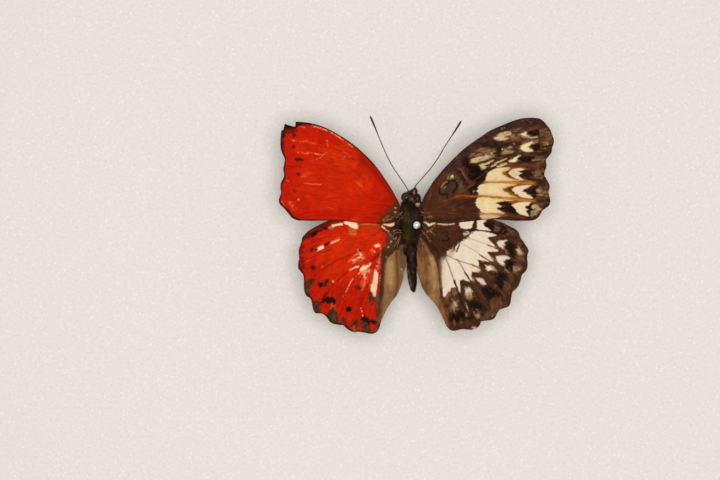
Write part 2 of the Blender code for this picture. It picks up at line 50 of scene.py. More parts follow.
class Wire:
    # a shader socket that can be added, multiplied and compared like a number
    def __init__(self, finish, socket):
        self.finish = finish
        self.socket = socket

    def maths(self, operation, other=0.0, swapped=False):
        pair = (other, self) if swapped else (self, other)
        return self.finish.add("Math", {"operation": operation}, {0: pair[0], 1: pair[1]})

    def __add__(self, other):
        return self.maths("ADD", other)

    def __sub__(self, other):
        return self.maths("SUBTRACT", other)

    def __mul__(self, other):
        return self.maths("MULTIPLY", other)

    def __truediv__(self, other):
        return self.maths("DIVIDE", other)

    def __pow__(self, other):
        return self.maths("POWER", other)

    def __rsub__(self, other):
        return self.maths("SUBTRACT", other, swapped=True)

    __radd__ = __add__
    __rmul__ = __mul__

    def clamp(self):
        return self.finish.add("Clamp", {}, {"Value": self})

    def step(self, low, high):  # 0 at low, 1 at high, smooth between
        sockets = {"Value": self, "From Min": low, "From Max": high}
        return self.finish.add("MapRange", {"interpolation_type": "SMOOTHSTEP"}, sockets)


class Finish:
    # one Principled material; what varies is wired with add(), and steady values are set on its sockets
    def __init__(self, name, roughness=0.5, **steady):
        self.material = bpy.data.materials.new(name)
        self.material.use_nodes = True
        self.tree = self.material.node_tree
        self.shader = self.tree.nodes["Principled BSDF"]
        self.shader.inputs["Roughness"].default_value = roughness
        for socketName, value in steady.items():
            self.shader.inputs[socketName.replace("_", " ")].default_value = value

    def feed(self, socket, value):
        if isinstance(value, Wire):
            self.tree.links.new(value.socket, socket)
        elif socket.type == "RGBA" and len(value) == 3:
            socket.default_value = (*value, 1.0)
        else:
            socket.default_value = value

    def add(self, kind, settings=None, sockets=None, output=0):
        made = self.tree.nodes.new("ShaderNode" + kind)
        for key, value in (settings or {}).items():
            setattr(made, key, value)
        for key, value in (sockets or {}).items():
            self.feed(made.inputs[key], value)
        return Wire(self, made.outputs[output])

    def mix(self, first, second, share, how="MIX"):
        return self.add("Mix", {"data_type": "RGBA", "blend_type": how}, {0: share, 6: first, 7: second}, 2)

    def place(self):
        return self.add("TexCoord", output="Object")

    def carried(self, attribute, output="Fac"):
        return self.add("Attribute", {"attribute_name": attribute}, output=output)

    def noise(self, where, scale, detail=2.0, roughness=0.5):
        sockets = {"Vector": where, "Scale": scale, "Detail": detail, "Roughness": roughness}
        return self.add("TexNoise", {}, sockets)

    def cells(self, where, scale, output="Distance", feature="F1"):
        return self.add("TexVoronoi", {"feature": feature}, {"Vector": where, "Scale": scale}, output)

    def vector(self, x, y, z=0.0):
        return self.add("CombineXYZ", {}, {"X": x, "Y": y, "Z": z})

    def colour(self, value):
        self.feed(self.shader.inputs["Base Color"], value)

    def rough(self, value):
        self.feed(self.shader.inputs["Roughness"], value)

    def bump(self, height, depth, strength=1.0):
        normal = self.add("Bump", {}, {"Height": height, "Distance": depth, "Strength": strength})
        self.feed(self.shader.inputs["Normal"], normal)


def meshPiece(name, points, faces, finish):
    mesh = bpy.data.meshes.new(name)
    mesh.from_pydata([tuple(p) for p in points], [], faces)
    mesh.shade_smooth()
    piece = bpy.data.objects.new(name, mesh)
    bpy.context.scene.collection.objects.link(piece)
    mesh.materials.append(finish.material)
    return piece


def linePiece(name, points, girths):
    # a bare line with a girth at each point, for a node tree to dress
    mesh = bpy.data.meshes.new(name)
    mesh.from_pydata([tuple(p) for p in points], [(k, k + 1) for k in range(len(points) - 1)], [])
    mesh.attributes.new("girth", "FLOAT", "POINT").data.foreach_set("value", np.array(girths, np.float32))
    piece = bpy.data.objects.new(name, mesh)
    bpy.context.scene.collection.objects.link(piece)
    return piece


def drawn(path):  # the points of a path written as "x,y x,y"
    return np.array([point.split(",") for point in path.split()], float)


def throughPoints(points, step, closed=False):
    # a smooth line through the points (12 steps from each to the next), then even steps along it
    points = np.array(points, float)
    if closed:
        padded = np.vstack([points[-1:], points, points[:2]])
    else:
        padded = np.vstack([2 * points[:1] - points[1:2], points, 2 * points[-1:] - points[-2:-1]])
    dense = []
    share = np.linspace(0, 1, 12, endpoint=False)[:, None]
    for before, start, end, after in zip(padded, padded[1:], padded[2:], padded[3:]):
        squared = (2 * before - 5 * start + 4 * end - after) * share**2
        cubed = (3 * start - before - 3 * end + after) * share**3
        dense.append(0.5 * (2 * start + (end - before) * share + squared + cubed))
    dense = np.vstack([*dense, points[:1] if closed else points[-1:]])
    run = np.concatenate([[0], np.cumsum(np.linalg.norm(np.diff(dense, axis=0), axis=1))])
    count = max(2, int(round(run[-1] / step)) + 1)
    even = np.linspace(0, run[-1], count)
    line = np.column_stack([np.interp(even, run, dense[:, k]) for k in range(dense.shape[1])])
    return line[:-1] if closed else line


def smooth(low, high, value):  # 0 at low, 1 at high, smooth between
    t = np.clip((value - low) / (high - low), 0, 1)
    return t * t * (3 - 2 * t)


def nearLine(points, line):
    # distance from each point to the line, and how far along the line the nearest place is (0 to 1)
    best = np.full(len(points), np.inf)
    share = np.zeros(len(points))
    lengths = np.linalg.norm(np.diff(line, axis=0), axis=1)
    run = np.concatenate([[0], np.cumsum(lengths)])
    for k in range(len(line) - 1):
        along = line[k + 1] - line[k]
        t = np.clip(((points - line[k]) @ along) / max(along @ along, 1e-12), 0, 1)
        away = np.linalg.norm(points - line[k] - t[:, None] * along, axis=1)
        closer = away < best
        best[closer] = away[closer]
        share[closer] = (run[k] + t[closer] * lengths[k]) / run[-1]
    return best, share


def isInside(points, outline):
    # counts how often a line from each point to the right crosses the outline
    found = np.zeros(len(points), bool)
    for a, b in zip(outline, np.roll(outline, -1, axis=0)):
        if a[1] == b[1]:
            continue
        crosses = (a[1] > points[:, 1]) != (b[1] > points[:, 1])
        at = a[0] + (points[:, 1] - a[1]) / (b[1] - a[1]) * (b[0] - a[0])
        found ^= crosses & (points[:, 0] < at)
    return found


speckleGrid = 128  # the random values repeat after this many spots
speckleStart = 1000.0  # where on their grid the middle of the object lies


def speckle(points, size, seed):
    # smooth random values from -1 to 1, with spots of about this size
    grid = np.random.default_rng(seed).uniform(-1, 1, (speckleGrid, speckleGrid))
    place = points / size + speckleStart
    low = np.floor(place).astype(int)
    part = place - low
    part = part * part * (3 - 2 * part)
    i, j = low[:, 0] % speckleGrid, low[:, 1] % speckleGrid
    i2, j2 = (i + 1) % speckleGrid, (j + 1) % speckleGrid
    lower = grid[i, j] * (1 - part[:, 0]) + grid[i2, j] * part[:, 0]
    upper = grid[i, j2] * (1 - part[:, 0]) + grid[i2, j2] * part[:, 0]
    return lower * (1 - part[:, 1]) + upper * part[:, 1]


def handOver(piece, slot, node=None):
    if node:
        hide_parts(node)
    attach(piece, "root")


class Tree:
    # a Geometry Nodes tree with named inputs
    def __init__(self, name, inputs):
        self.tree = bpy.data.node_groups.new(name, "GeometryNodeTree")
        self.identifiers = {}
        for label, kind in [("Geometry", "Geometry"), *inputs]:
            made = self.tree.interface.new_socket(label, in_out="INPUT", socket_type="NodeSocket" + kind)
            self.identifiers[label] = made.identifier
        self.tree.interface.new_socket("Geometry", in_out="OUTPUT", socket_type="NodeSocketGeometry")
        self.start = self.tree.nodes.new("NodeGroupInput")
        self.end = self.tree.nodes.new("NodeGroupOutput")

    def get(self, label):
        return self.start.outputs[label]

    def add(self, kind, settings=None, sockets=None, output=0):
        made = self.tree.nodes.new(kind)
        for key, value in (settings or {}).items():
            setattr(made, key, value)
        for key, value in (sockets or {}).items():
            if isinstance(value, bpy.types.NodeSocket):
                self.tree.links.new(value, made.inputs[key])
            else:
                made.inputs[key].default_value = value
        return made.outputs[output]

    def vector(self, operation, first, second):
        return self.add("ShaderNodeVectorMath", {"operation": operation}, {0: first, 1: second})

    def scaled(self, first, factor):
        return self.add("ShaderNodeVectorMath", {"operation": "SCALE"}, {0: first, "Scale": factor})

    def value(self, operation, first, second):
        return self.add("ShaderNodeMath", {"operation": operation}, {0: first, 1: second})

    def noted(self, geometry, name, value, domain="POINT"):
        sockets = {"Geometry": geometry, "Name": name, "Value": value}
        return self.add("GeometryNodeStoreNamedAttribute", {"data_type": "FLOAT", "domain": domain}, sockets)

    def random(self, low, high, seed):
        return self.add("FunctionNodeRandomValue", {"data_type": "FLOAT"}, {2: low, 3: high, "Seed": seed}, 1)

    def turnedTo(self, aim):
        return self.add("FunctionNodeAlignRotationToVector", {"axis": "Z"}, {"Vector": aim})

    def girthedLine(self):
        # the source as a curve, and the girth that its points carry
        curve = self.add("GeometryNodeMeshToCurve", {}, {"Mesh": self.get("Geometry")})
        return curve, self.add("GeometryNodeInputNamedAttribute", {"data_type": "FLOAT"}, {"Name": "girth"})

    def cone(self, sides, segments, top, bottom):
        # a cone or frustum of unit height, and that height, which is noted on it as "along"
        sockets = {"Vertices": sides, "Side Segments": segments, "Radius Top": top, "Radius Bottom": bottom,
                   "Depth": 1.0}
        cone = self.add("GeometryNodeMeshCone", {"fill_type": "NGON"}, sockets)
        height = self.add("ShaderNodeSeparateXYZ", {}, {0: self.add("GeometryNodeInputPosition")}, "Z")
        return self.noted(cone, "along", height), height

    def finish(self, geometry):
        real = self.add("GeometryNodeRealizeInstances", {}, {"Geometry": geometry})
        dressed = self.add("GeometryNodeSetMaterial", {}, {"Geometry": real, "Material": self.get("Finish")})
        self.tree.links.new(dressed, self.end.inputs["Geometry"])
        return self


def grown(name, source, tree, values):
    # runs the tree on the source object and keeps the result as a plain mesh
    modifier = source.modifiers.new("grow", "NODES")
    modifier.node_group = tree.tree
    for label, value in values.items():
        modifier[tree.identifiers[label]] = value
    bpy.context.view_layer.update()
    evaluated = source.evaluated_get(bpy.context.evaluated_depsgraph_get())
    mesh = bpy.data.meshes.new_from_object(evaluated)
    mesh.name = name
    mesh.shade_smooth()
    piece = bpy.data.objects.new(name, mesh)
    bpy.context.scene.collection.objects.link(piece)
    source.modifiers.remove(modifier)
    return piece


hairForm = {
    "sides": 3,
    "segments": 3,
    "sizes": (0.55, 1.1),  # the shortest and the longest hair, of the set length
    "toneSeed": 7,
    "inputs": [("Length", "Float"), ("Girth", "Float"), ("Bend", "Float"), ("Scatter", "Float"),
               ("Seed", "Int"), ("Finish", "Material")],
}


def hairBlade(tree):
    # one bent, tapering hair of unit length
    cone, height = tree.cone(hairForm["sides"], hairForm["segments"], 0.0, tree.get("Girth"))
    sag = tree.value("MULTIPLY", tree.value("MULTIPLY", height, height), tree.get("Bend"))
    offset = tree.add("ShaderNodeCombineXYZ", {}, {"X": sag})
    return tree.add("GeometryNodeSetPosition", {}, {"Geometry": cone, "Offset": offset})


def hairsAt(tree, points, direction):
    # a hair at each point, of random size, lean and tone
    jitter = tree.add("FunctionNodeRandomValue", {"data_type": "FLOAT_VECTOR"},
                      {0: (-1, -1, -1), 1: (1, 1, 1), "Seed": tree.get("Seed")})
    aim = tree.vector("ADD", direction, tree.scaled(jitter, tree.get("Scatter")))
    size = tree.value("MULTIPLY", tree.random(*hairForm["sizes"], tree.get("Seed")), tree.get("Length"))
    sockets = {"Points": points, "Instance": hairBlade(tree), "Rotation": tree.turnedTo(aim), "Scale": size}
    hairs = tree.add("GeometryNodeInstanceOnPoints", {}, sockets)
    return tree.finish(tree.noted(hairs, "tone", tree.random(0.0, 1.0, hairForm["toneSeed"]), "INSTANCE"))


def furTree():
    # hairs all over a skin, leaning from its normal towards the comb direction
    tree = Tree("fur", [("Density", "Float"), ("Comb", "Vector"), *hairForm["inputs"]])
    sockets = {"Mesh": tree.get("Geometry"), "Density": tree.get("Density"), "Seed": tree.get("Seed")}
    points = tree.add("GeometryNodeDistributePointsOnFaces", {}, sockets)
    normal = points.node.outputs["Normal"]
    return hairsAt(tree, points, tree.vector("ADD", normal, tree.get("Comb")))


def ringTree():
    # flared rings one after another along a line, as wide as the line's girth
    tree = Tree("rings", [("Rings", "Int"), ("Overlap", "Float"), ("Flare", "Float"), ("Finish", "Material")])
    line, girth = tree.girthedLine()
    sockets = {"Curve": line, "Count": tree.get("Rings")}
    line = tree.add("GeometryNodeResampleCurve", {"mode": "COUNT"}, sockets)
    line = tree.add("GeometryNodeSetCurveRadius", {}, {"Curve": line, "Radius": girth})
    points = tree.add("GeometryNodeCurveToPoints", {"mode": "EVALUATED"}, {"Curve": line})
    turn = tree.turnedTo(points.node.outputs["Tangent"])
    ring, _ = tree.cone(12, 2, tree.get("Flare"), 0.8)  # its foot is a little narrower than the line
    radius = tree.add("GeometryNodeInputRadius")
    size = tree.add("ShaderNodeCombineXYZ", {}, {"X": radius, "Y": radius, "Z": tree.get("Overlap")})
    sockets = {"Points": points, "Instance": ring, "Rotation": turn, "Scale": size}
    return tree.finish(tree.add("GeometryNodeInstanceOnPoints", {}, sockets))


def tubeTree():
    # a round tube along a line, as wide as the line's girth
    tree = Tree("tube", [("Sides", "Int"), ("Finish", "Material")])
    line, girth = tree.girthedLine()
    sockets = {"Resolution": tree.get("Sides"), "Radius": 1.0}
    ring = tree.add("GeometryNodeCurvePrimitiveCircle", {"mode": "RADIUS"}, sockets)
    sockets = {"Curve": line, "Profile Curve": ring, "Scale": girth, "Fill Caps": True}
    return tree.finish(tree.add("GeometryNodeCurveToMesh", {}, sockets))


furGrower = furTree()
ringGrower = ringTree()
tubeGrower = tubeTree()
print("node trees built")


def tubePiece(name, points, girths, finish, sides):
    guide = linePiece(name + "_line", points, girths)
    tube = grown(name, guide, tubeGrower, {"Sides": sides, "Finish": finish.material})
    bpy.data.objects.remove(guide)
    return tube


def furPiece(name, skin, finish, coat, comb):
    perSquareMm, length, girth, bend, scatter, seed = coat
    values = {"Density": perSquareMm / mm**2, "Length": length * mm, "Girth": girth, "Bend": bend,
              "Scatter": scatter, "Seed": seed, "Comb": comb, "Finish": finish.material}
    return grown(name, skin, furGrower, values)


def joined(name, pieces):
    # several pieces as one mesh
    bm = bmesh.new()
    for piece in pieces:
        bm.from_mesh(piece.data)
    mesh = pieces[0].data.copy()
    mesh.name = name
    bm.to_mesh(mesh)
    bm.free()
    mesh.shade_smooth()
    for piece in pieces:
        bpy.data.objects.remove(piece)
    whole = bpy.data.objects.new(name, mesh)
    bpy.context.scene.collection.objects.link(whole)
    return whole


wingForm = {
    "grid": 0.135,  # spacing of the mesh, in millimetres
    "thickness": 0.15,
    "rimThickness": 0.06,
    "rootX": 1.2,
    "rootY": {"fore": (2.0, 4.0), "hind": (-3.9, 1.1)},
    "levels": {"fore": (27.9, 2.5), "hind": (27.25, 2.6)},  # height, and how far out the sheet has it
    "lift": math.tan(math.radians(2.6)),  # the sheets rise outwards
    "camber": (0.35, 24.0),  # a forewing's arch: its rise, and its chord from the rear forwards
    "foldDrop": 1.8,  # a hindwing's inner edge is folded down
    "foldAcross": (-4.2, -1.2),
    "foldAlong": (4.0, 7.0),
    "pleat": 0.1,  # how far the sheet sinks between veins
    "ripples": ((0.035, 2.2, 50), (0.05, 5.0, 51)),  # depth, size and seed
    "veinRise": 0.13,
    "veinHalfWidth": 0.19,
    "veinEnd": 0.35,  # how far from the rim the mesh stops following a vein
    "drawnOn": (411, 226, 0.2336),  # the markings' grid: where x and y are 0, and a square's width
}

scaleForm = {
    "fanX": 1.5,  # rows of scales fan out from this place in the root
    "fanY": {"fore": 3.0, "hind": 0.0},
    "nearFan": 15.0,  # how far out they have their set width
    # further out the rows fan from this far behind the root: distance, width, and where that begins and ends
    "farFan": {"fore": (50.0, 61.0, 10.0, 20.0), "hind": (-3.6, 12.2, 8.0, 15.0)},
    # width and length of the streaks: of rows, of single scales, of a comb's teeth and of stray scales
    "row": (0.26, 1.5),
    "fineRow": (0.16, 0.7),
    "stroke": (0.3, 1.1),
    "stray": (0.24, 0.5),
    "fray": 0.8,  # how far the rows shift a marking's edge, in squares of the grid
    "fineFray": 0.9,
    "ragged": 0.35,
    "onVein": 0.13,  # half the width of a vein's bare line
    # how strongly dark and pale ground are streaked, the stray scales, and the bare veins
    "brown": {"base": "umber", "deep": 0.42, "pale": 0.06, "fleck": "tan", "flecks": 0.14, "vein": "chestnut",
              "veins": 0.14},
    # on the red wings the stray flecks take the worn colour, partly worn scales and partly a painted
    # highlight
    "red": {"base": "red", "deep": 0.22, "pale": 0.1, "fleck": "worn", "flecks": 0.08, "vein": "duskRed",
            "veins": 0.2},
}

undersideForm = {
    "leaf": {"red": (150, 98, 52), "brown": (132, 92, 60)},
    "shade": (92, 56, 34),
    "dark": (52, 34, 24),
    "line": 0.62,  # place of the dark line from root (0) to rim (1), and of the fainter one from root to line
}

luminance = (0.21, 0.72, 0.07)  # how bright red, green and blue look

forewingRed = drawn(
    "-2.1,4.2 -3.3,6.4 -4.4,8.4 -5.8,10.6 -7.2,12.6 -9,14.9 -10.9,16.8 -13,18.65 -15.05,20.15 -17.15,21.45 "
    "-19.25,22.6 -21.4,23.45 -23.35,23.95 -25.2,24.2 -26.9,24.3 -27,23.1 -28.3,23.4 -29.4,23.8 -29.8,22.3 "
    "-30.2,22.1 -30.4,20.1 -30.4,18.5 -30.1,17.1 -29.5,15.9 -29.4,15.2 -29.6,14.2 -29.75,13.1 -29.55,11.9 "
    "-29.8,11 -30.3,10 -30.4,8.9 -30.3,7.7 -30.6,6.8 -30.8,6 -30.6,5.1 -29.9,4.4 -29.1,3.55 -28.4,2.65 "
    "-27.7,1.85 -26.6,1.35 -25.2,1.25 -22.2,1.2 -18.9,1.25 -15.9,1.2 -13.1,0.8 -10,0.7 -7,0.8 -4.7,1.4 "
    "-2.8,2.3")
forewingBrown = drawn(
    "2.1,4.7 3,6.8 4,8.5 5.15,10.35 6.4,11.9 7.8,13.55 9.25,15.05 10.8,16.6 12.6,18.2 14.5,19.6 16.4,20.9 "
    "18.2,22.1 20.1,23 22,23.8 23.8,24.5 25.5,25 27.1,25.2 28.5,25.2 29.9,25 30.8,24.4 31.6,23.5 32.4,22.4 "
    "32.9,21 33.25,20 33.1,18.9 32.8,18.2 32.7,17.2 32,16.2 31.4,15.4 31.5,14 31.15,12.8 31,11.9 31.5,10.9 "
    "32.1,9.8 32.25,8.9 32,7.8 32.3,6.5 32.4,5.6 31.95,4.6 30.65,3.65 30.15,2.8 29.4,1.8 28.3,1.3 26.6,1.2 "
    "24.3,1.2 21.5,1.4 18.2,1.6 15.7,1.3 12.8,1 9.6,0.7 6.8,0.7 4.4,1.3 2.8,2.3")
hindwingRed = drawn(
    "-2.4,1.5 -4.7,2.3 -7.2,2.9 -10.5,3.2 -13.8,2.9 -16.6,2.2 -19.2,1.3 -20.8,0.6 -22.35,-0.2 -23.75,-1 "
    "-24.8,-1.95 -25.4,-2.8 -25.5,-3.6 -25.9,-4.7 -26.2,-5.8 -26.1,-7.5 -26.3,-8.6 -26.3,-9.8 -25.8,-10.6 "
    "-25.2,-11.3 -25,-12.4 -25,-13.8 -24.9,-15.2 -24.4,-16.3 -23.6,-16.8 -23.2,-17.6 -23,-18.8 -22.6,-20 "
    "-22,-20.4 -21.1,-20.4 -20.3,-20.7 -19.6,-21.4 -19,-22.3 -18,-22.9 -16.8,-23.1 -15.8,-23.2 -15.2,-23.8 "
    "-14.2,-24.5 -13.3,-24.8 -12.4,-24.7 -11,-24.9 -9.3,-25.2 -8.2,-24.9 -7.4,-23.9 -7.1,-22.7 -6.5,-21.3 "
    "-5.65,-19.5 -4.5,-17.7 -3.3,-16.2 -2.4,-14.2 -1.8,-12.4 -1.65,-11 -1.1,-9.3 -0.85,-7.9 -1.05,-6.5 "
    "-1.3,-5.3")
hindwingBrown = drawn(
    "2.4,1.5 4.4,2.2 7.2,2.9 10.5,3.3 13.8,3.3 17.1,2.6 19.9,1.3 21.5,0.7 22.9,0 24.3,-0.7 25.1,-1.5 "
    "25.5,-2.6 26.2,-3.6 26.9,-4.7 27.4,-5.7 27.2,-6.7 27.1,-7.6 27.2,-8.6 27.1,-9.9 26.6,-10.7 25.9,-11.4 "
    "25.6,-12.6 25.1,-13.9 24.4,-14.8 23.7,-15.4 23.4,-16.7 23.2,-18 22.7,-18.8 21.7,-19.2 20.7,-19.6 "
    "20.1,-20.4 19.6,-21.4 18.8,-21.9 17.5,-22.1 16.4,-22.3 16.1,-23.1 15.4,-23.8 14.4,-24.2 13.2,-24.2 "
    "12.1,-24.1 11.1,-24.3 10,-24.5 9.1,-24.2 8.3,-23.4 7.8,-22.3 7.1,-20.8 6.2,-19 4.85,-17.3 3.5,-15.8 "
    "2.55,-14.1 1.9,-12.1 1.45,-10.3 1.35,-8.4 1.3,-6.8 1.35,-5.3")

forewingVeins = [
    drawn("3,4.4 5.4,8.4 8.4,12.4 11.7,15.8 15.4,18.5 18.5,20.7 20.6,22.7"),
    drawn("9.6,12.8 12.8,16.1 16.6,18.5 20.1,20.8 23.6,22.9 25.7,24.8"),
    drawn("12.8,15.4 17.1,17.3 21.3,19.9 25.5,22.2 29.7,23.5 31.8,23.4"),
    drawn("3,4 4.4,6.8 6.8,10 9.6,12.8 12.8,15.4 16.6,16.6 20.8,19 25.5,20.2 29.7,20.6 33.3,20.4"),
    drawn("12.6,11.9 15.7,14.7 19.9,16.1 23.6,17.2 28.3,17.2 32.6,17.5"),
    drawn("12.8,15.4 12.6,13.8 12.6,11.9 14.5,10"),
    drawn("14.5,10 16.8,12.4 20.1,13.5 24.3,14.1 27.8,14.1 31.5,14"),
    drawn("3,3.5 5.8,4.7 8.6,6 11.4,7.4 14.5,10 20.8,10.4 24.3,10.3 28.3,9.8 32.3,9.3"),
    drawn("11.4,7.4 15.7,7 19.6,6.7 23.6,6.3 28.3,6 32.4,5.4"),
    drawn("3,2.9 9.1,2.8 15.7,2.8 21.3,2.8 25,2.2 28.7,1.6"),
]
hindwingVeins = [
    drawn("3,0 6.8,1.2 11.4,1.9 16.1,1.4 20.8,0 25.2,-1.6"),
    drawn("3,-0.5 6.8,-1.2 11,-0.7 15.2,-0.7 18.5,-1.3 22,-2.8 26.5,-4.2"),
    drawn("6.8,-1.2 9.8,-2.1 13.3,-3 17.3,-4 20.6,-5.4 23.8,-6.9 27.1,-7.7"),
    drawn("6.8,-3 9.6,-3.5 12.4,-4.4 15.7,-5.8 18.9,-7.6 22,-9.3 25.9,-11.4"),
    drawn("3,-0.9 5.4,-4.4 8.9,-7.1 11.9,-8.3 15,-9.3 17.1,-10.6 19.4,-13.3 21.5,-16.4 23.2,-17.8"),
    drawn("6.3,-5.4 9.1,-7.2 11.4,-9.3 13.3,-11.6 15.2,-14.2 16.8,-16.8 18.5,-18.9 20.3,-19.9"),
    drawn("5.4,-4.4 7.9,-7.2 9.1,-10 10.3,-12.8 11.2,-15.2 12.4,-17.5 13.8,-20.1 16,-22.9"),
    drawn("3,-1.4 5.4,-5.6 6.7,-8.9 7,-12.6 7.5,-16.6 8.2,-20.3 9.1,-23.8"),
    drawn("2.6,-2.1 4,-7 4.7,-10.3 5.4,-13.8 6.3,-17.3 7.2,-20.8"),
]


def mirroredVeins(veins, root, scale):  # for the other half, stretched from the wing's root
    return [((vein - root) * scale + root) * (-1, 1) for vein in veins]


scaleColours = {  # as a screen shows them
    "umber": (68, 38, 23), "redUmber": (78, 36, 17), "plum": (56, 36, 32), "darkUmber": (42, 24, 15),
    "ink": (20, 12, 9), "chestnut": (104, 58, 32), "rust": (116, 52, 24), "rustRed": (112, 34, 14),
    "brightRust": (158, 70, 14), "orangeBrown": (134, 78, 28), "chevron": (86, 42, 14),
    "amber": (186, 122, 44), "cream": (222, 196, 148), "bright": (232, 208, 160), "pale": (222, 202, 168),
    "rosyPale": (225, 207, 187), "shell": (230, 209, 188), "rootCream": (234, 202, 166),
    "paleTan": (206, 174, 130), "pinkTan": (206, 176, 150), "tan": (160, 124, 86), "dullTan": (122, 88, 60),
    "cellGrey": (70, 49, 35), "cellPink": (98, 64, 52), "greyHair": (150, 138, 126), "maroon": (60, 30, 20),
    "edgeBrown": (50, 29, 18), "beige": (142, 101, 63), "lightBeige": (172, 135, 90),
    "foldBrown": (112, 70, 38), "red": (187, 27, 1), "orangeRed": (200, 42, 4), "crimson": (172, 22, 4),
    "deepRed": (142, 16, 4), "darkRed": (74, 10, 6), "worn": (230, 98, 48), "wornPale": (238, 164, 116),
    "redCream": (246, 212, 168), "olive": (92, 64, 40), "oliveDark": (54, 38, 24), "greyTan": (104, 80, 60),
    "ochre": (204, 112, 40), "duskRed": (80, 44, 28), "mauve": (104, 80, 62), "furDark": (40, 26, 14),
    "furOlive": (66, 50, 20), "furPlum": (46, 26, 22), "furRust": (74, 36, 20), "collar": (226, 184, 156),
    "abdomenDark": (34, 18, 9), "abdomenTan": (112, 88, 54),
}

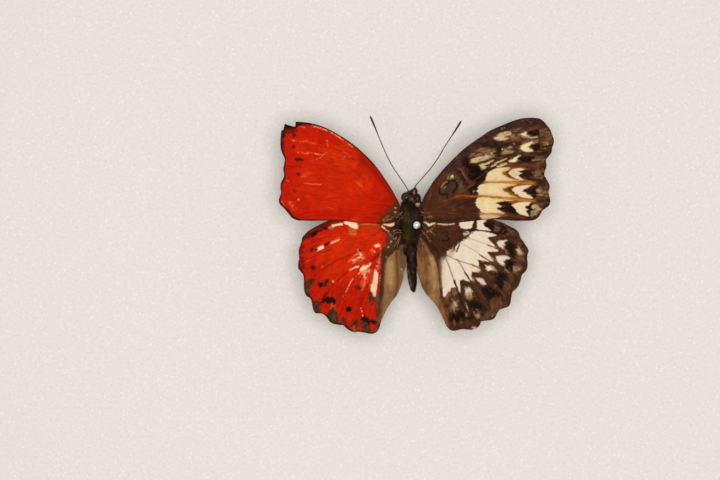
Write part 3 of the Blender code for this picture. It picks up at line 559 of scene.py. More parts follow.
# Markings are laid one over another, in this order. Each is its kind, colour, edge or width, strength and
# points; an indented line goes on with the one above, and a slash begins another path of the same marking.
# patch, cloud, comb and dust fill an outline, the last three mottled, streaked or broken up. line, rub, vein
# and glow follow their points: a rub is broken, a vein isn't frayed and a glow fades away. dot is a spot.
forewingBrownMarks = """
# the ground: plum along the front, thin rust streaks behind it and towards the rear
patch plum 3 0.75 448,165 466,146 490,130 512,121 512,130 494,138 480,146 468,156 460,166 452,170
line plum 6 0.85 421,207 431,186 446,167 466,149 490,134 512,124 532,121
cloud redUmber 3 0.25 424,212 445,206 470,208 479,213 478,219 445,221 424,220
line rustRed 2.2 0.5 425.5,212 427,203 430,194 435,185 441,177.5 447,171.5
line cellPink 1.2 0.8 429.6,199.4 430.6,195
cloud darkUmber 4 0.5 460,198 478,198 480,218 458,219
comb rust 1.4 0.2 425,214 440,208 456,206 478,211 476,217 450,218 428,218
line rust 0.9 0.3 427,213 438,208 452,201
line tan 1 0.5 427.5,216.8 432,216.4
line edgeBrown 3 0.7 424,221 450,220.5 478,220
# the cell's grey cloud and its dark loops
cloud cellGrey 2 0.9 438,199 440,188 443,180 448,172 453,171 459,176 463,184 462,190 456,197 447,201
cloud greyTan 1.5 0.6 456,176 460,180 463.4,186 462,191 458,192 459,186 456,181
line tan 1.3 0.5 441,187.5 443.6,184 446.6,181.4
line tan 1 0.45 443.6,188.6 446.6,185.8
cloud tan 1.5 0.5 446.6,175.4 450,174.4 453.6,175.4 453.6,178.8 449,179 446.8,177.6
dot pinkTan 1.5 0.95 451.9,176.6
line ink 1.9 0.85 446.6,184.8 448.6,182.2 452,180.8 455.4,181.6 456.9,184.4 456.4,187.6 454.4,190.4
    452.6,192.4 454.6,194.2 / 439.6,188.6 439.3,192.6 441.4,195 444.2,194.6 445.8,193.2 447.2,195.8
    447,199.4
line darkUmber 1.8 0.75 456,172 460.6,177.6 464,183.6 464.6,189.6 461.6,193.4
line ink 3 0.7 459,170 462.5,176 465,181 467.5,185
line cellPink 1.5 0.85 457.6,168 461.4,170.4 463.6,174 466,178.6 468.6,181
line cellPink 1.2 0.6 461.4,170.4 464,168 466.4,166.6
# near-black field beyond the cell, and the rust veins that run through it
patch ink 1.8 0.96 461,162 466,156 472,164 478,166 482,170 488,170 486,176 485,182 479,184 471,181 468,174
patch ink 1.6 0.92 468,190 472,186 478,184 478,190 476,195 470,194
patch maroon 2.2 0.8 462,199 477,198 475,204 479,212 470,214 463,208
vein cellPink 1 0.35 470,183 479,177.5 487,171.5
line rustRed 2.6 0.6 467,182.2 470,182.6 474,183
line cellPink 1.2 0.8 474,184.4 468,187.4 463.6,190.6 460.4,193
glow rust 3 0.6 457,196 462,195 466,196
line rust 2 0.75 445,201 452,198.6 457,196.8
line brightRust 1.5 0.7 455,197.4 461,195.6 468,196.2 476,196.6
line amber 0.8 0.3 464,196 471,196.6 478,196.6
dot greyHair 0.9 0.8 473.8,191.6
# ground of the cream band's outer half
patch orangeBrown 1.2 0.9 500,168 512,166.6 526,168.6 531,175 531,188 530,200 524,206 510,207 500,205
    497,203 503,197 500,190 503,184 500,176
# cream band, cell by cell: the block, the chevron, the crescent and the black spot
patch cream 0.6 1 486.6,181.5 486.2,178 486.8,174.5 488.5,172 492,170.3 497,168.5 503,167.8 508,167.5
    509.5,169 507,171 503,172.8 504,175.3 508,177.2 513,179.5 520,181 505,181.5
patch chevron 0.6 0.95 501.8,173.4 504.6,171.4 509,170.6 508.6,174 511,176 518,180 509.6,178.4 505.2,176.2
patch pale 0.6 1 508.8,173 510,170.8 514,169 519,168.5 524,169.8 518.8,171.6 522,173.4 518.4,174.8 520,178
    523,180.2 519.6,180 516,178.8 512.5,177 509.5,175
cloud tan 1.2 0.4 511,171 518,170 517,177 512,175.6
patch ink 1.1 0.92 518.6,171 526,170.2 532,171 533.8,175 534,180.4 530,181.4 525.6,179.8 521.6,177.6
    518.6,175 522.5,173.7 519.4,172.3
patch cream 0.6 1 477,190.5 478,187.5 480,185 483,183.8 490,183.1 500,183.1 510,183.8 516,184.8 507,187.3
    502,189.5 505,191 512,195 517,197.8 505,197 495,196.2 485,195.4 478.6,194.6
patch chevron 0.6 0.95 502,189.4 507,187.4 514.6,185.2 512.4,187.6 511.4,189.6 513,192 517,195.4 521,198.4
    511,195.6 505.6,192.4
patch pale 0.6 1 512,189.6 513.6,187.8 517.4,186.4 523,185.6 530,185.6 528.6,187.4 522.4,190.8 527,194.6
    532,198.6 524,197.8 519,196 515.4,193.8 512.6,191.5
patch ink 1.1 0.92 523,190.6 527,188.6 530,186.3 535,186.6 536.6,190 536.6,195 536,199.4 532.4,198 529,195.6
    526.6,193.6
patch cream 0.6 1 475,203 476.5,200 478.5,197.6 485,197.4 495,198.4 505,199.4 513,200.5 499,202 496,203.6
    501.6,206.3 496.8,208.3 501,211.6 505,213.3 492,213.1 481.4,212.8 479.8,209.5 477,206.5
patch ink 0.9 0.95 496,203.6 500,202.2 506,201.2 510,203 513.6,207.2 514.6,209.4 516.4,212.4 520,214.8
    510,213 502,210.4 497,208 503.6,206.6
patch pale 0.6 1 511.5,205 515,203.5 520,202.4 530.4,202.2 526,206.5 525,208 527.5,209.5 525.5,211.5
    529,216.2 525.6,215.8 520,214.2 516.6,211.8 514.6,208.8 513,207
patch ink 1.1 0.92 525,208 528,206 530.6,204.2 530.4,207 531.6,209 530.4,211.8 527,211.6 528.2,209.6
dust paleTan 1 0.95 532,205 535.4,203.6 538.6,205.6 540.4,211 536,216 531.6,217.4 530.4,214.4 532,211
patch paleTan 0.8 0.95 480.6,214.6 490,214.5 500,215.8 494,218 481.4,218.6
cloud rust 1.2 0.35 500,214.5 512,215 524,217.5 516,219 500,217.6
glow bright 4.5 0.7 487,204 488,208
glow bright 3 0.5 494,190 490,190
# golden veins across the band, orange at their outer ends
glow amber 2 0.35 485,182.4 500,182.1 520,183 534,183.8 / 478,196 490,196.7 505,198.2 520,199.8 535,201
glow amber 1.8 0.35 480,213.8 497,213.9 505,214.8
glow amber 1.6 0.4 509,168 503,173 508,178 516,181 / 514,185 502,189.6 509,194 517,197.6
line brightRust 2.2 0.7 513,181.8 522,182.8 531,183.6 / 511,198 520,199.6 531,200.8
vein amber 1.1 0.9 484,182.4 500,182.1 520,183 532,183.7 / 478,196 490,196.7 505,198.2 520,199.8 533,200.9
vein amber 1 0.85 480,213.8 492,213.8 503,214.6
vein rust 1 0.8 503,214.6 514,216.8 524,218.4
# dark border, with tan showing through it in streaks
patch darkUmber 2.5 0.7 535,170 545,166 552,184 552,204 538,219 520,222 500,219 512,217 528,218 535,206
    536,190
comb dullTan 2 0.35 535,170 546,168 552,186 551,204 540,216 534,212 538,190
comb dullTan 1.4 0.6 533,171 544,169 545,178 534,178
dust tan 1.3 0.85 537,189 541,187.6 541.4,197 537.4,199
dust tan 1.2 0.5 543,191 548,190 548,197 543.6,197
# wing tip: streaks over the whole of it, then the upper row of pale marks
patch plum 3 0.7 505,120 530,117 545,122 550,130 538,128 520,128 506,130
comb dullTan 2.5 0.45 508,132 528,129 543,128 551,135 553,148 545,162 545,168 530,168 512,166 500,158
    500,140
comb darkUmber 2.5 0.75 500,130 528,120 543,120 552,134 553,147 545,164 545,168 530,166 512,164 500,156
    496,140
comb chestnut 2 0.35 505,130 517,127 531,126 550,128 553,140 540,141 520,142 500,146
rub pinkTan 1.4 0.7 499.4,130.6 502,129.2 504.6,128
dust paleTan 1.1 0.9 493,138.4 497,135 501,132.4 507,131 510,133 508.6,137.6 504,140.4 496,140.6
cloud pinkTan 1.2 0.9 494.6,138.6 498,136 503,135.4 507,136 504,139.6 497,140
dust tan 1.3 0.5 509,130.5 520,129 521,134 519,138.6 509,138.6
dot ink 1.5 0.75 515.8,135.8
dot ink 1.3 0.8 521.4,137.2
dust tan 1.2 0.9 519.4,134.6 523,133 526.6,132 528,137 523.4,138
patch pale 0.9 0.95 520.8,134.4 523,133 526,132 526,134.4 528,136.2 523.4,136.2
line pinkTan 1.3 0.8 528,137.4 532,138 536.8,137
patch ink 1.2 0.95 525.8,132.8 529.6,131.4 533,130.6 537.6,130 539.4,132.6 539,135.6 535.6,136 531,135.4
dust dullTan 1.3 0.8 540,130 547,128 551,133 552,140 541,140 540.6,136
# the dark bar below them
cloud ink 2 0.75 478,146 484,142 491,140 500,141 510,142 519,142 510,145 504,146 502,150 500,157 496,157
    496,151 490,147 484,147
line chestnut 1.6 0.5 506,142.4 520,140.4 532,139.8 546,140
# long tan streaks behind the cell
comb dullTan 1.4 1 469,157 473,152.6 480,148.5 485,147 483,150.4 476,154.2 470,158.4
dust dullTan 1.5 0.8 481,149 489,147 493,149 495.4,154 490,158 480,157.6
dot pinkTan 1.1 0.7 491.6,153.6
dot pinkTan 1.1 0.6 486,156.2
line darkUmber 1.4 0.8 472,157 478,154 484,151 489,150
comb tan 1.6 1 469,161 474,156 486,150 493,149.6 494,156 486,160 474,163
comb paleTan 1.4 1 470.6,160.6 473,158.6 478,157.4 485,156.6 491,156.8 487,159.4 480,161.8 472.6,162.8
cloud paleTan 1.2 0.95 470.6,161 474,158.4 482,156.2 489,156.2 484,159.6 476,162.4
comb paleTan 1.2 1 478.8,166.2 482,164 489,161.6 493,160.6 490,164 486,167.4 482,169.6
line darkUmber 1.5 0.85 469,165 477,163.6 487,161 497,157.6
line darkUmber 1.4 0.85 486,170.6 495,167.2 503,165.8 511,165.4
cloud paleTan 0.9 1 495.6,166.6 500,164.4 504.6,162.8 507,164 502.6,166.4 498,167.5
line paleTan 1.2 0.85 495.6,163.4 500,161.6 506,158.8
line pinkTan 1.2 0.8 491.4,166.6 495,164.8
dust tan 1.2 1 502.6,152.6 504.6,149 507,146 511.6,146 511.6,150 513,152 510,153.6 505,154
dot pinkTan 0.9 0.8 502,149.8
cloud maroon 1.4 0.9 513,145 518,144.6 519,147 518,150.4 513.6,150
dot tan 1.2 0.5 513,144.4
# two pale crescents, each with its black spot
dust tan 1.2 0.8 518,147.6 521,145 527,142 535,140.8 536,143 531,147 532,149.4 537,152.6 524,153 519,150
patch bright 0.9 0.95 519.6,147.6 522.4,145.6 526.6,143.6 530,142.4 532,142.2 529.4,145.4 527.6,147.6
    529.4,149.4 533,151.4 526,151.8 521.4,149.6
patch ink 1.3 0.92 528.6,147.5 531,145.2 535,144.2 538.2,144.6 539.4,147 538.2,150 535.4,151 532.4,149.6
dust tan 1.1 0.8 541,143 547,142.6 549,146 547,149 541.6,148.4
line darkUmber 2.2 0.7 505,157.4 512,154.8 522,153.8 535,154 547,151.6
patch bright 0.8 1 508.8,161 512,159.4 515,157.4 519.6,155.4 517.8,158 516.6,160.4 514,162.6 511,162.2
patch ink 1.4 0.92 517,158.8 520.5,157 525,155.8 531,156.2 533.5,158.5 532,161.6 527,163 521,162
comb dullTan 1.2 0.75 533,157 544,157 544,163 533,163.4
comb chestnut 1.4 0.6 503,162.6 516,163.4 530,164 540,165 540,169 524,168 508,167
line chestnut 1.6 0.6 508,164.6 519,165.6 531,166
cloud paleTan 1.4 0.5 533,206 537,205 539,209 536,214 532,214
line edgeBrown 2.2 0.7 530,119.5 541,121 549,129 553,140 550,153 545,164 547,181 549.6,192 549,203 541,212
    531,219.6 512,220
"""

# folded inner edge, with a painted highlight along its middle and painted shade in its creases
hindwingBrownMarks = """
# the ground: maroon at the root, a redder zone behind the band, a dark border
patch maroon 3 0.8 420,226 474,226 470,238 458,246 446,256 441,262 432,250 424,238
cloud chestnut 3 0.25 426,227 462,226 464,234 450,246 436,242
cloud duskRed 3 0.45 478,262 494,262 500,272 494,284 486,302 474,302 470,286
comb duskRed 3 0.4 492,236 504,250 512,272 504,300 488,316 470,318 476,296 488,276 486,256
comb ink 3 0.5 508,226 520,240 526,256 518,274 510,292 500,306 486,318 470,326 450,326 470,300 490,284
    500,260 500,236
comb dullTan 2 0.3 514,232 525,246 525,262 514,284 508,302 494,317 480,318 498,290 512,262 512,244
# folded inner edge
patch beige 0.9 1 414,246 417,240 421,240 425,243 429,250 434,259 437.5,268 439,277 439.6,286 441,296
    443.5,306 447,317 448.5,326 444,322 439,313 434,306 426,298 418,285 414,268
comb foldBrown 2 0.6 414,242 424,244 430,262 430,296 420,290 412,268
glow lightBeige 2.4 0.7 432,258 434,268 435,280 434,290
glow foldBrown 2.4 0.75 424,245 426,258 426,272 427,290
glow foldBrown 1.4 0.6 416.5,246 416.5,262 419,280
cloud greyTan 2 0.5 424,286 436,288 442,306 438,310 426,297
patch chestnut 2 0.3 415,240 421,239 427,247 428,254 420,256 415,250
rub rosyPale 0.9 0.7 420.5,238 422,241 424,245
glow chestnut 0.9 0.8 438.6,262 440,275 440.4,288 442,297
line umber 4 0.85 441.5,297 444,305 447,314 450,323
glow foldBrown 2.4 0.8 438,300 443,312 446,324
glow darkUmber 2.5 0.7 424,238 432,246 438,257 440,266
line umber 2.4 0.9 434.5,252 438,261 439.4,272 440.4,284 442,298
cloud umber 1.4 0.8 416,239 421,239 424,243.6 424,247 420,248 416.4,247
# pale marks at the wing's root
patch rootCream 0.5 0.95 424,221.4 427,222.6 429.6,224 432,222.8 435.6,223 432.6,224.6 429.6,226.2 427,225
    425,223
line pinkTan 1.3 0.95 438,223.8 446,224.6 454,223.8
rub tan 0.9 0.8 435,225 433,227.5 430,230.5 427,232
rub pinkTan 0.9 0.6 430.5,231 432.5,232.8 434,234
rub tan 0.8 0.6 422,232 427,236 431,242
rub greyTan 0.8 0.5 420.5,238 424,244 427,250
glow ink 1.1 0.75 442,233 446,231.6 448.6,234 446,235.8 449,238 446.6,241 442.6,240
# pale band, whose outer edge is toothed
patch rosyPale 0.6 1 471.5,232.5 474,231 480,231 487,232.2 493,233.5 496.8,235.2 492,236.6 487.6,238 490,241
    493.4,244.6 496,248.2 497.4,250.6 492.4,251.8 487.4,252 489.6,255.5 491.6,259.4 490.4,261.2 485.6,261.2
    478.2,260 478.8,263 479,266.4 479.4,270.4 475.6,271.8 471.4,272.4 471.8,275 471.6,278 470.6,281
    466,280.6 461,279.6 460.2,286 459.8,292.4 458,291 455.6,287.4 451,288 450.4,291.5 447.4,293.6
    445.4,296.4 443.4,296.4 442.8,290 442.2,281 442.2,270 443,263 445,259 447.2,256.4 446.8,252.8
    449.4,250.4 453.4,248.8 456.8,245.2 459.4,242.4 463.4,240.6 467,238 470,235
glow pinkTan 2.6 0.6 443,260 443,272 444,286
glow rootCream 2 0.6 450,253 454,250 461,243 470,235
glow cream 2 0.7 488,243 495,249 / 484,257 492,260 / 472,267 478,270.4
glow cream 2 0.6 464,277 472,280
vein tan 0.8 0.5 467,238 475,240 483,243 492,246.4
line chevron 1.2 0.9 488,245.2 494,247.4 500,250
vein tan 0.8 0.5 461,243 468,247 475,251 482,256
line redUmber 1.3 0.95 480,255 487,259.4 495,264
vein greyTan 1 0.75 446,254.6 455,259.3 463,262 471,264.5 477,267
line chevron 1.3 0.9 472,264.8 477,267 483,270.6
vein greyTan 1.1 0.8 457,259 461,265 465,272 469,278.5
line redUmber 1.6 0.95 464.6,272 469,278.5 473,284 480,294 487,305
vein cellPink 0.7 0.8 472,281 480,292.4 488,303.4
vein greyTan 1.1 0.8 445,256.6 449,266 452,275 455,283
line darkUmber 2 0.95 454.4,281 457,288 460,296 462,304
line darkUmber 1.5 0.95 456.8,241.4 455.2,246.4 452.4,251.6 / 460,240.4 458.8,246 456.4,251.4
patch ink 1.1 0.85 471,229.5 475,230 471,233.8 467,238 460.5,241.8 459,239 463,236.6 469,233
cloud pinkTan 0.9 0.9 464.5,231.6 468.6,231.3 468.6,233.6 466,235.8 463.8,234.6
# dark notches of the band
glow redUmber 1.1 0.8 489,238.2 496,241 504,252 / 489,252.8 496,253.6 506,256 / 480.6,261.4 487,263.4
    496,266 / 473,273.8 478,274.6 486,279
cloud dullTan 1.5 0.8 446,296 449,291.6 452,289 455,288.6 458,292 454,295 448,298
# white patches on the leading edge
patch shell 0.5 1 460,223.8 462.4,221.4 474,220 472.4,225 469.6,228.6 463,228.8 460.6,226.6 / 477.8,220.4
    480,219 487,219 484.8,222 483,224 486.6,227.6 491,230.6 484,230.4 477.6,229 476.8,226.6
line darkUmber 1.4 0.95 475.6,220 474.4,226 474,230 482,230.6 490,232 500,235
patch ink 1.6 0.85 484,224 487,221 493,221 495,225 496,229 501,234 499,237 494,233 489,229
dust dullTan 1.3 0.8 494,223.6 498,226 498.6,231 500.4,235 496,233 494,229
patch ink 2 0.9 499,226 503,225 508,228 508,232 505,235 501,234 499,230
dust dullTan 1.5 0.6 509,229.6 512.6,229.6 514,234 510,235
# pale crescents and black spots behind the band
patch rosyPale 1 0.95 496.8,242.4 499,241 503,240.3 506.8,240.4 504.4,242.4 503,245.6 503.4,248.8 500.6,247
    498,244.6
dust tan 1.2 0.7 503,248 505.6,250 510,256 506,254
patch ink 2 0.92 505,246 508,243 512,242 515,244 515,249 515,254 517,260 512,257 508,252
patch rosyPale 1 0.95 495.6,257 498,256 503,255.7 507,256.4 509.6,258.6 505.6,259.8 504.2,262.6 504,265.6
    500,263.8 497.4,260.6
dust tan 1.2 0.8 502.6,264 505.4,266 509,272.4 505,270
patch ink 2 0.92 505,263 508,260 512,260 514,264 513,268 512,273 508,269 505,266
patch rosyPale 1 0.95 486,266 489,265.4 494,267.2 494.6,269.4 491,270.2 487.2,270.4
dust tan 1.4 0.8 492,267 497,268 498,272 493,271
patch ink 2.6 0.9 494,273 500,272 508,274 509,278 505,283 501,289 497,285 495,279
cloud chestnut 2 0.7 504,284 507,281.6 510,285 508.4,290 504,289
patch rosyPale 1.1 0.9 476.2,278.4 479,277.8 483.2,279.5 484.8,283.2 483,284.6 479.4,282.4
patch ink 2.6 0.9 483,287 488,285 494,289 499,294 496,299 490,300 485,296 482,291
cloud chestnut 2 0.6 493,299 500,297 502,303 496,307 490,305
patch shell 1.3 0.8 464.8,290 467.5,287.5 470.4,288.5 471.8,291 471,294 468,295.6 465.6,294
cloud tan 1.5 0.8 465,294 471.6,292 474,297 468.6,299
patch ink 2.6 0.9 469,303 474,300 480,303 484,308 478,310 472,310 469,307
cloud tan 2 0.6 452,301 455,299 459,303 458,308 453,311 450,308
glow pinkTan 1.5 0.7 454.6,303 456,305.6
comb chestnut 1.6 0.8 443,298 448,298 450,312 446,315
rub paleTan 1.1 0.8 465.4,303.4 467.2,307.4 469.2,311.8
patch ink 2 0.95 449,318 453,314 459,311 465,312 465,318 460,320 454,322
patch ink 1.8 0.8 465,317 470,315 473,312 474,317 471,321 466,320
cloud tan 1.6 1 515.6,248 518.8,247.4 522.4,252.4 521.4,255 517.6,254
glow paleTan 1.4 0.9 518,250 519.4,252
cloud dullTan 2 0.3 517,254 523,255 524,262 518,262
cloud tan 1.4 0.8 513.4,267.6 517,266.4 519.6,268 517.4,271 513.6,272.4 512.8,270
dust tan 1.6 0.9 474,310.6 478,311 479.6,314.6 482,319 477,318 474.6,314.4
glow tan 1 0.7 466.3,314 466.6,315.6
dot tan 1.1 0.75 492.4,316.4
dust dullTan 1.5 0.8 450,322 456,320.8 458.4,323 453,325.4
dust tan 1.4 0.8 460.6,320 463.8,320.4 463.6,323.6 461,323.4
dust pinkTan 1 0.8 471,327 474.6,325 476.4,326 474,328.6
# pinkish veins in the dark border
rub cellPink 1 0.7 486,272 495,284 505,297
rub cellPink 0.9 0.6 493,262.5 501,269 509,276 / 500,250.6 508,255 516,261
cloud tan 1.6 0.55 448,253 450.6,250.4 454,248.4 457,250 455,254 450,258 446.6,262 446.2,258
line edgeBrown 2.4 0.6 500,222 517,231 526,245 526,262 520,275 511,290 507,306 493,318 478,325 462,328
    450,325
"""

# dark edges; the deep red glow along the front edge by the root is painted shade beside the body
# rubbed places where scales are missing, their pale flecks partly a painted highlight standing in for glints
# of sheen
# the deep red cloud at the left forewing's root is painted shade beside the body
forewingRedMarks = """
cloud orangeRed 6 0.5 300,170 340,150 370,175 366,196 330,208 300,200
cloud crimson 5 0.6 281,150 296,150 300,200 340,216 376,222 300,220 280,200
cloud crimson 6 0.4 330,135 360,158 392,200 376,206 350,170 325,150
cloud orangeRed 3 0.6 294,146 304,145 305,153 295,153
cloud deepRed 5 0.6 364,224 374,211 384,198 392,194 402,205 402,224
rub deepRed 1.2 0.5 284,166 292,166.5 304,167
rub deepRed 1.2 0.4 286,195 300,194 330,197
rub deepRed 1.4 0.4 310,215 340,216 372,218
# dark edges
glow deepRed 3.5 0.7 402,214 390,193 376,173 360,157
cloud orangeRed 4 0.9 322,148 345,144 358,158 352,170 334,166
cloud orangeRed 3 0.8 356,178 368,176 372,188 360,192
vein darkUmber 2.6 0.95 404,211 397.4,198.6 392.4,190 386.4,180.6 380.4,172.1 372.2,162.4 364.2,154.2
    355.4,146.4 346.6,139.8
vein darkUmber 2.2 0.95 350,142 337.6,134.2 328.6,129.4 319.4,125.7 311,123.5
patch ink 0.9 0.95 294,120 305,120 318,122 328,127 318,126.2 308,125.4 300,126 296,128.5
patch ink 0.8 0.97 283,122 290,124 297,127 296.5,129 290,129.6 282,130.4
patch darkUmber 1 0.97 279,129 287,130 285,135 284.2,142 284,150 281,154 278,140
vein darkUmber 2.6 0.95 281.6,150 284.4,156 285,162 283.8,170 284.6,178 281.6,184 280.6,192 279.6,197 /
    280,196 279.6,201 282.2,206 288.6,211 293.4,217 299,219.8
vein darkRed 1.8 0.8 298,220 320,220.4 345,220.8
cloud darkRed 1.6 0.7 286,130 292,128 298,129 297,132 287,134
rub wornPale 1.1 0.85 312,126 320,128.2 330,132.2 340,138 350,145 356,149
# dark spots
dot darkRed 2 0.95 294.4,135.4
dot darkRed 1.9 0.9 294,147
line ink 2.9 0.85 297,159.8 299.4,159.4 302,159.8
dot darkRed 2 0.8 298.3,174
dot darkRed 1.9 0.5 294.6,191
# rubbed places where scales are missing
rub worn 1.6 0.9 292,141 297,141 / 300.5,141.6 307,141.3
rub worn 1.2 0.6 308.5,142.4 312,143.2 316,144
rub worn 1.6 0.95 297.5,152.8 302.5,153 308.2,153.6
rub worn 1.2 0.7 310,153 314,153.5
line wornPale 1.2 0.7 316,153.8 318.6,154.8
rub worn 1.2 0.9 318.6,154.8 322,155.2 325,155
line worn 0.8 0.8 327.3,152.4 323,155.8 317,159.8
rub worn 1.1 0.8 326.8,140.5 327.5,146.5
rub worn 1.3 0.8 302,127.3 305,127.6
rub worn 1.2 0.7 315,130.5 319,131.5
line worn 1 0.75 304.5,183.6 313,184.2 321,184.6
dust worn 1.6 0.45 301,176 305,174 309,173.5 308,176.5 303,177.5
dot worn 1 0.6 288.5,181
dot wornPale 1 0.75 298.6,199.6
rub worn 1.1 0.7 284,200 290,202 296,201
rub wornPale 1.3 0.8 282.4,200.5 283.6,204.8
dust worn 1.6 0.5 290,203 294,204 297,210 292,209
rub worn 1.2 0.6 328,207 331,208.3 334,210
rub worn 1.6 0.5 344,152 348,155 351,157.5
dust worn 2 0.35 338,155 344,155 346,159 340,160
dust worn 1.5 0.5 352,217.6 357,217.8 358,220 353,220
dust worn 2.2 0.35 358,181 363,181 362,186 358,185
# dark root with pale hairs
patch redUmber 2.4 0.85 376,225 380,217 386,210 392,204 398,200 405,204 406,218 400,226 388,226
dust oliveDark 2 0.9 384,222 389,214 396,206 404,208 404,222 396,225
rub olive 1.6 0.9 382,222 390,219 398,213
dot pinkTan 0.9 0.75 395.6,208
dot pinkTan 0.9 0.6 395.4,212.2
dust rust 1.6 0.5 383,218 388,210 393,207 392,215 386,221
dot tan 0.75 0.8 383.4,219.8
dot tan 0.7 0.7 388.6,216.2 / 391.4,219 / 386.4,217.6
dot greyHair 0.75 0.75 398,217.6
rub tan 0.7 0.7 384,221.4 389,219.8 393,216.6
"""
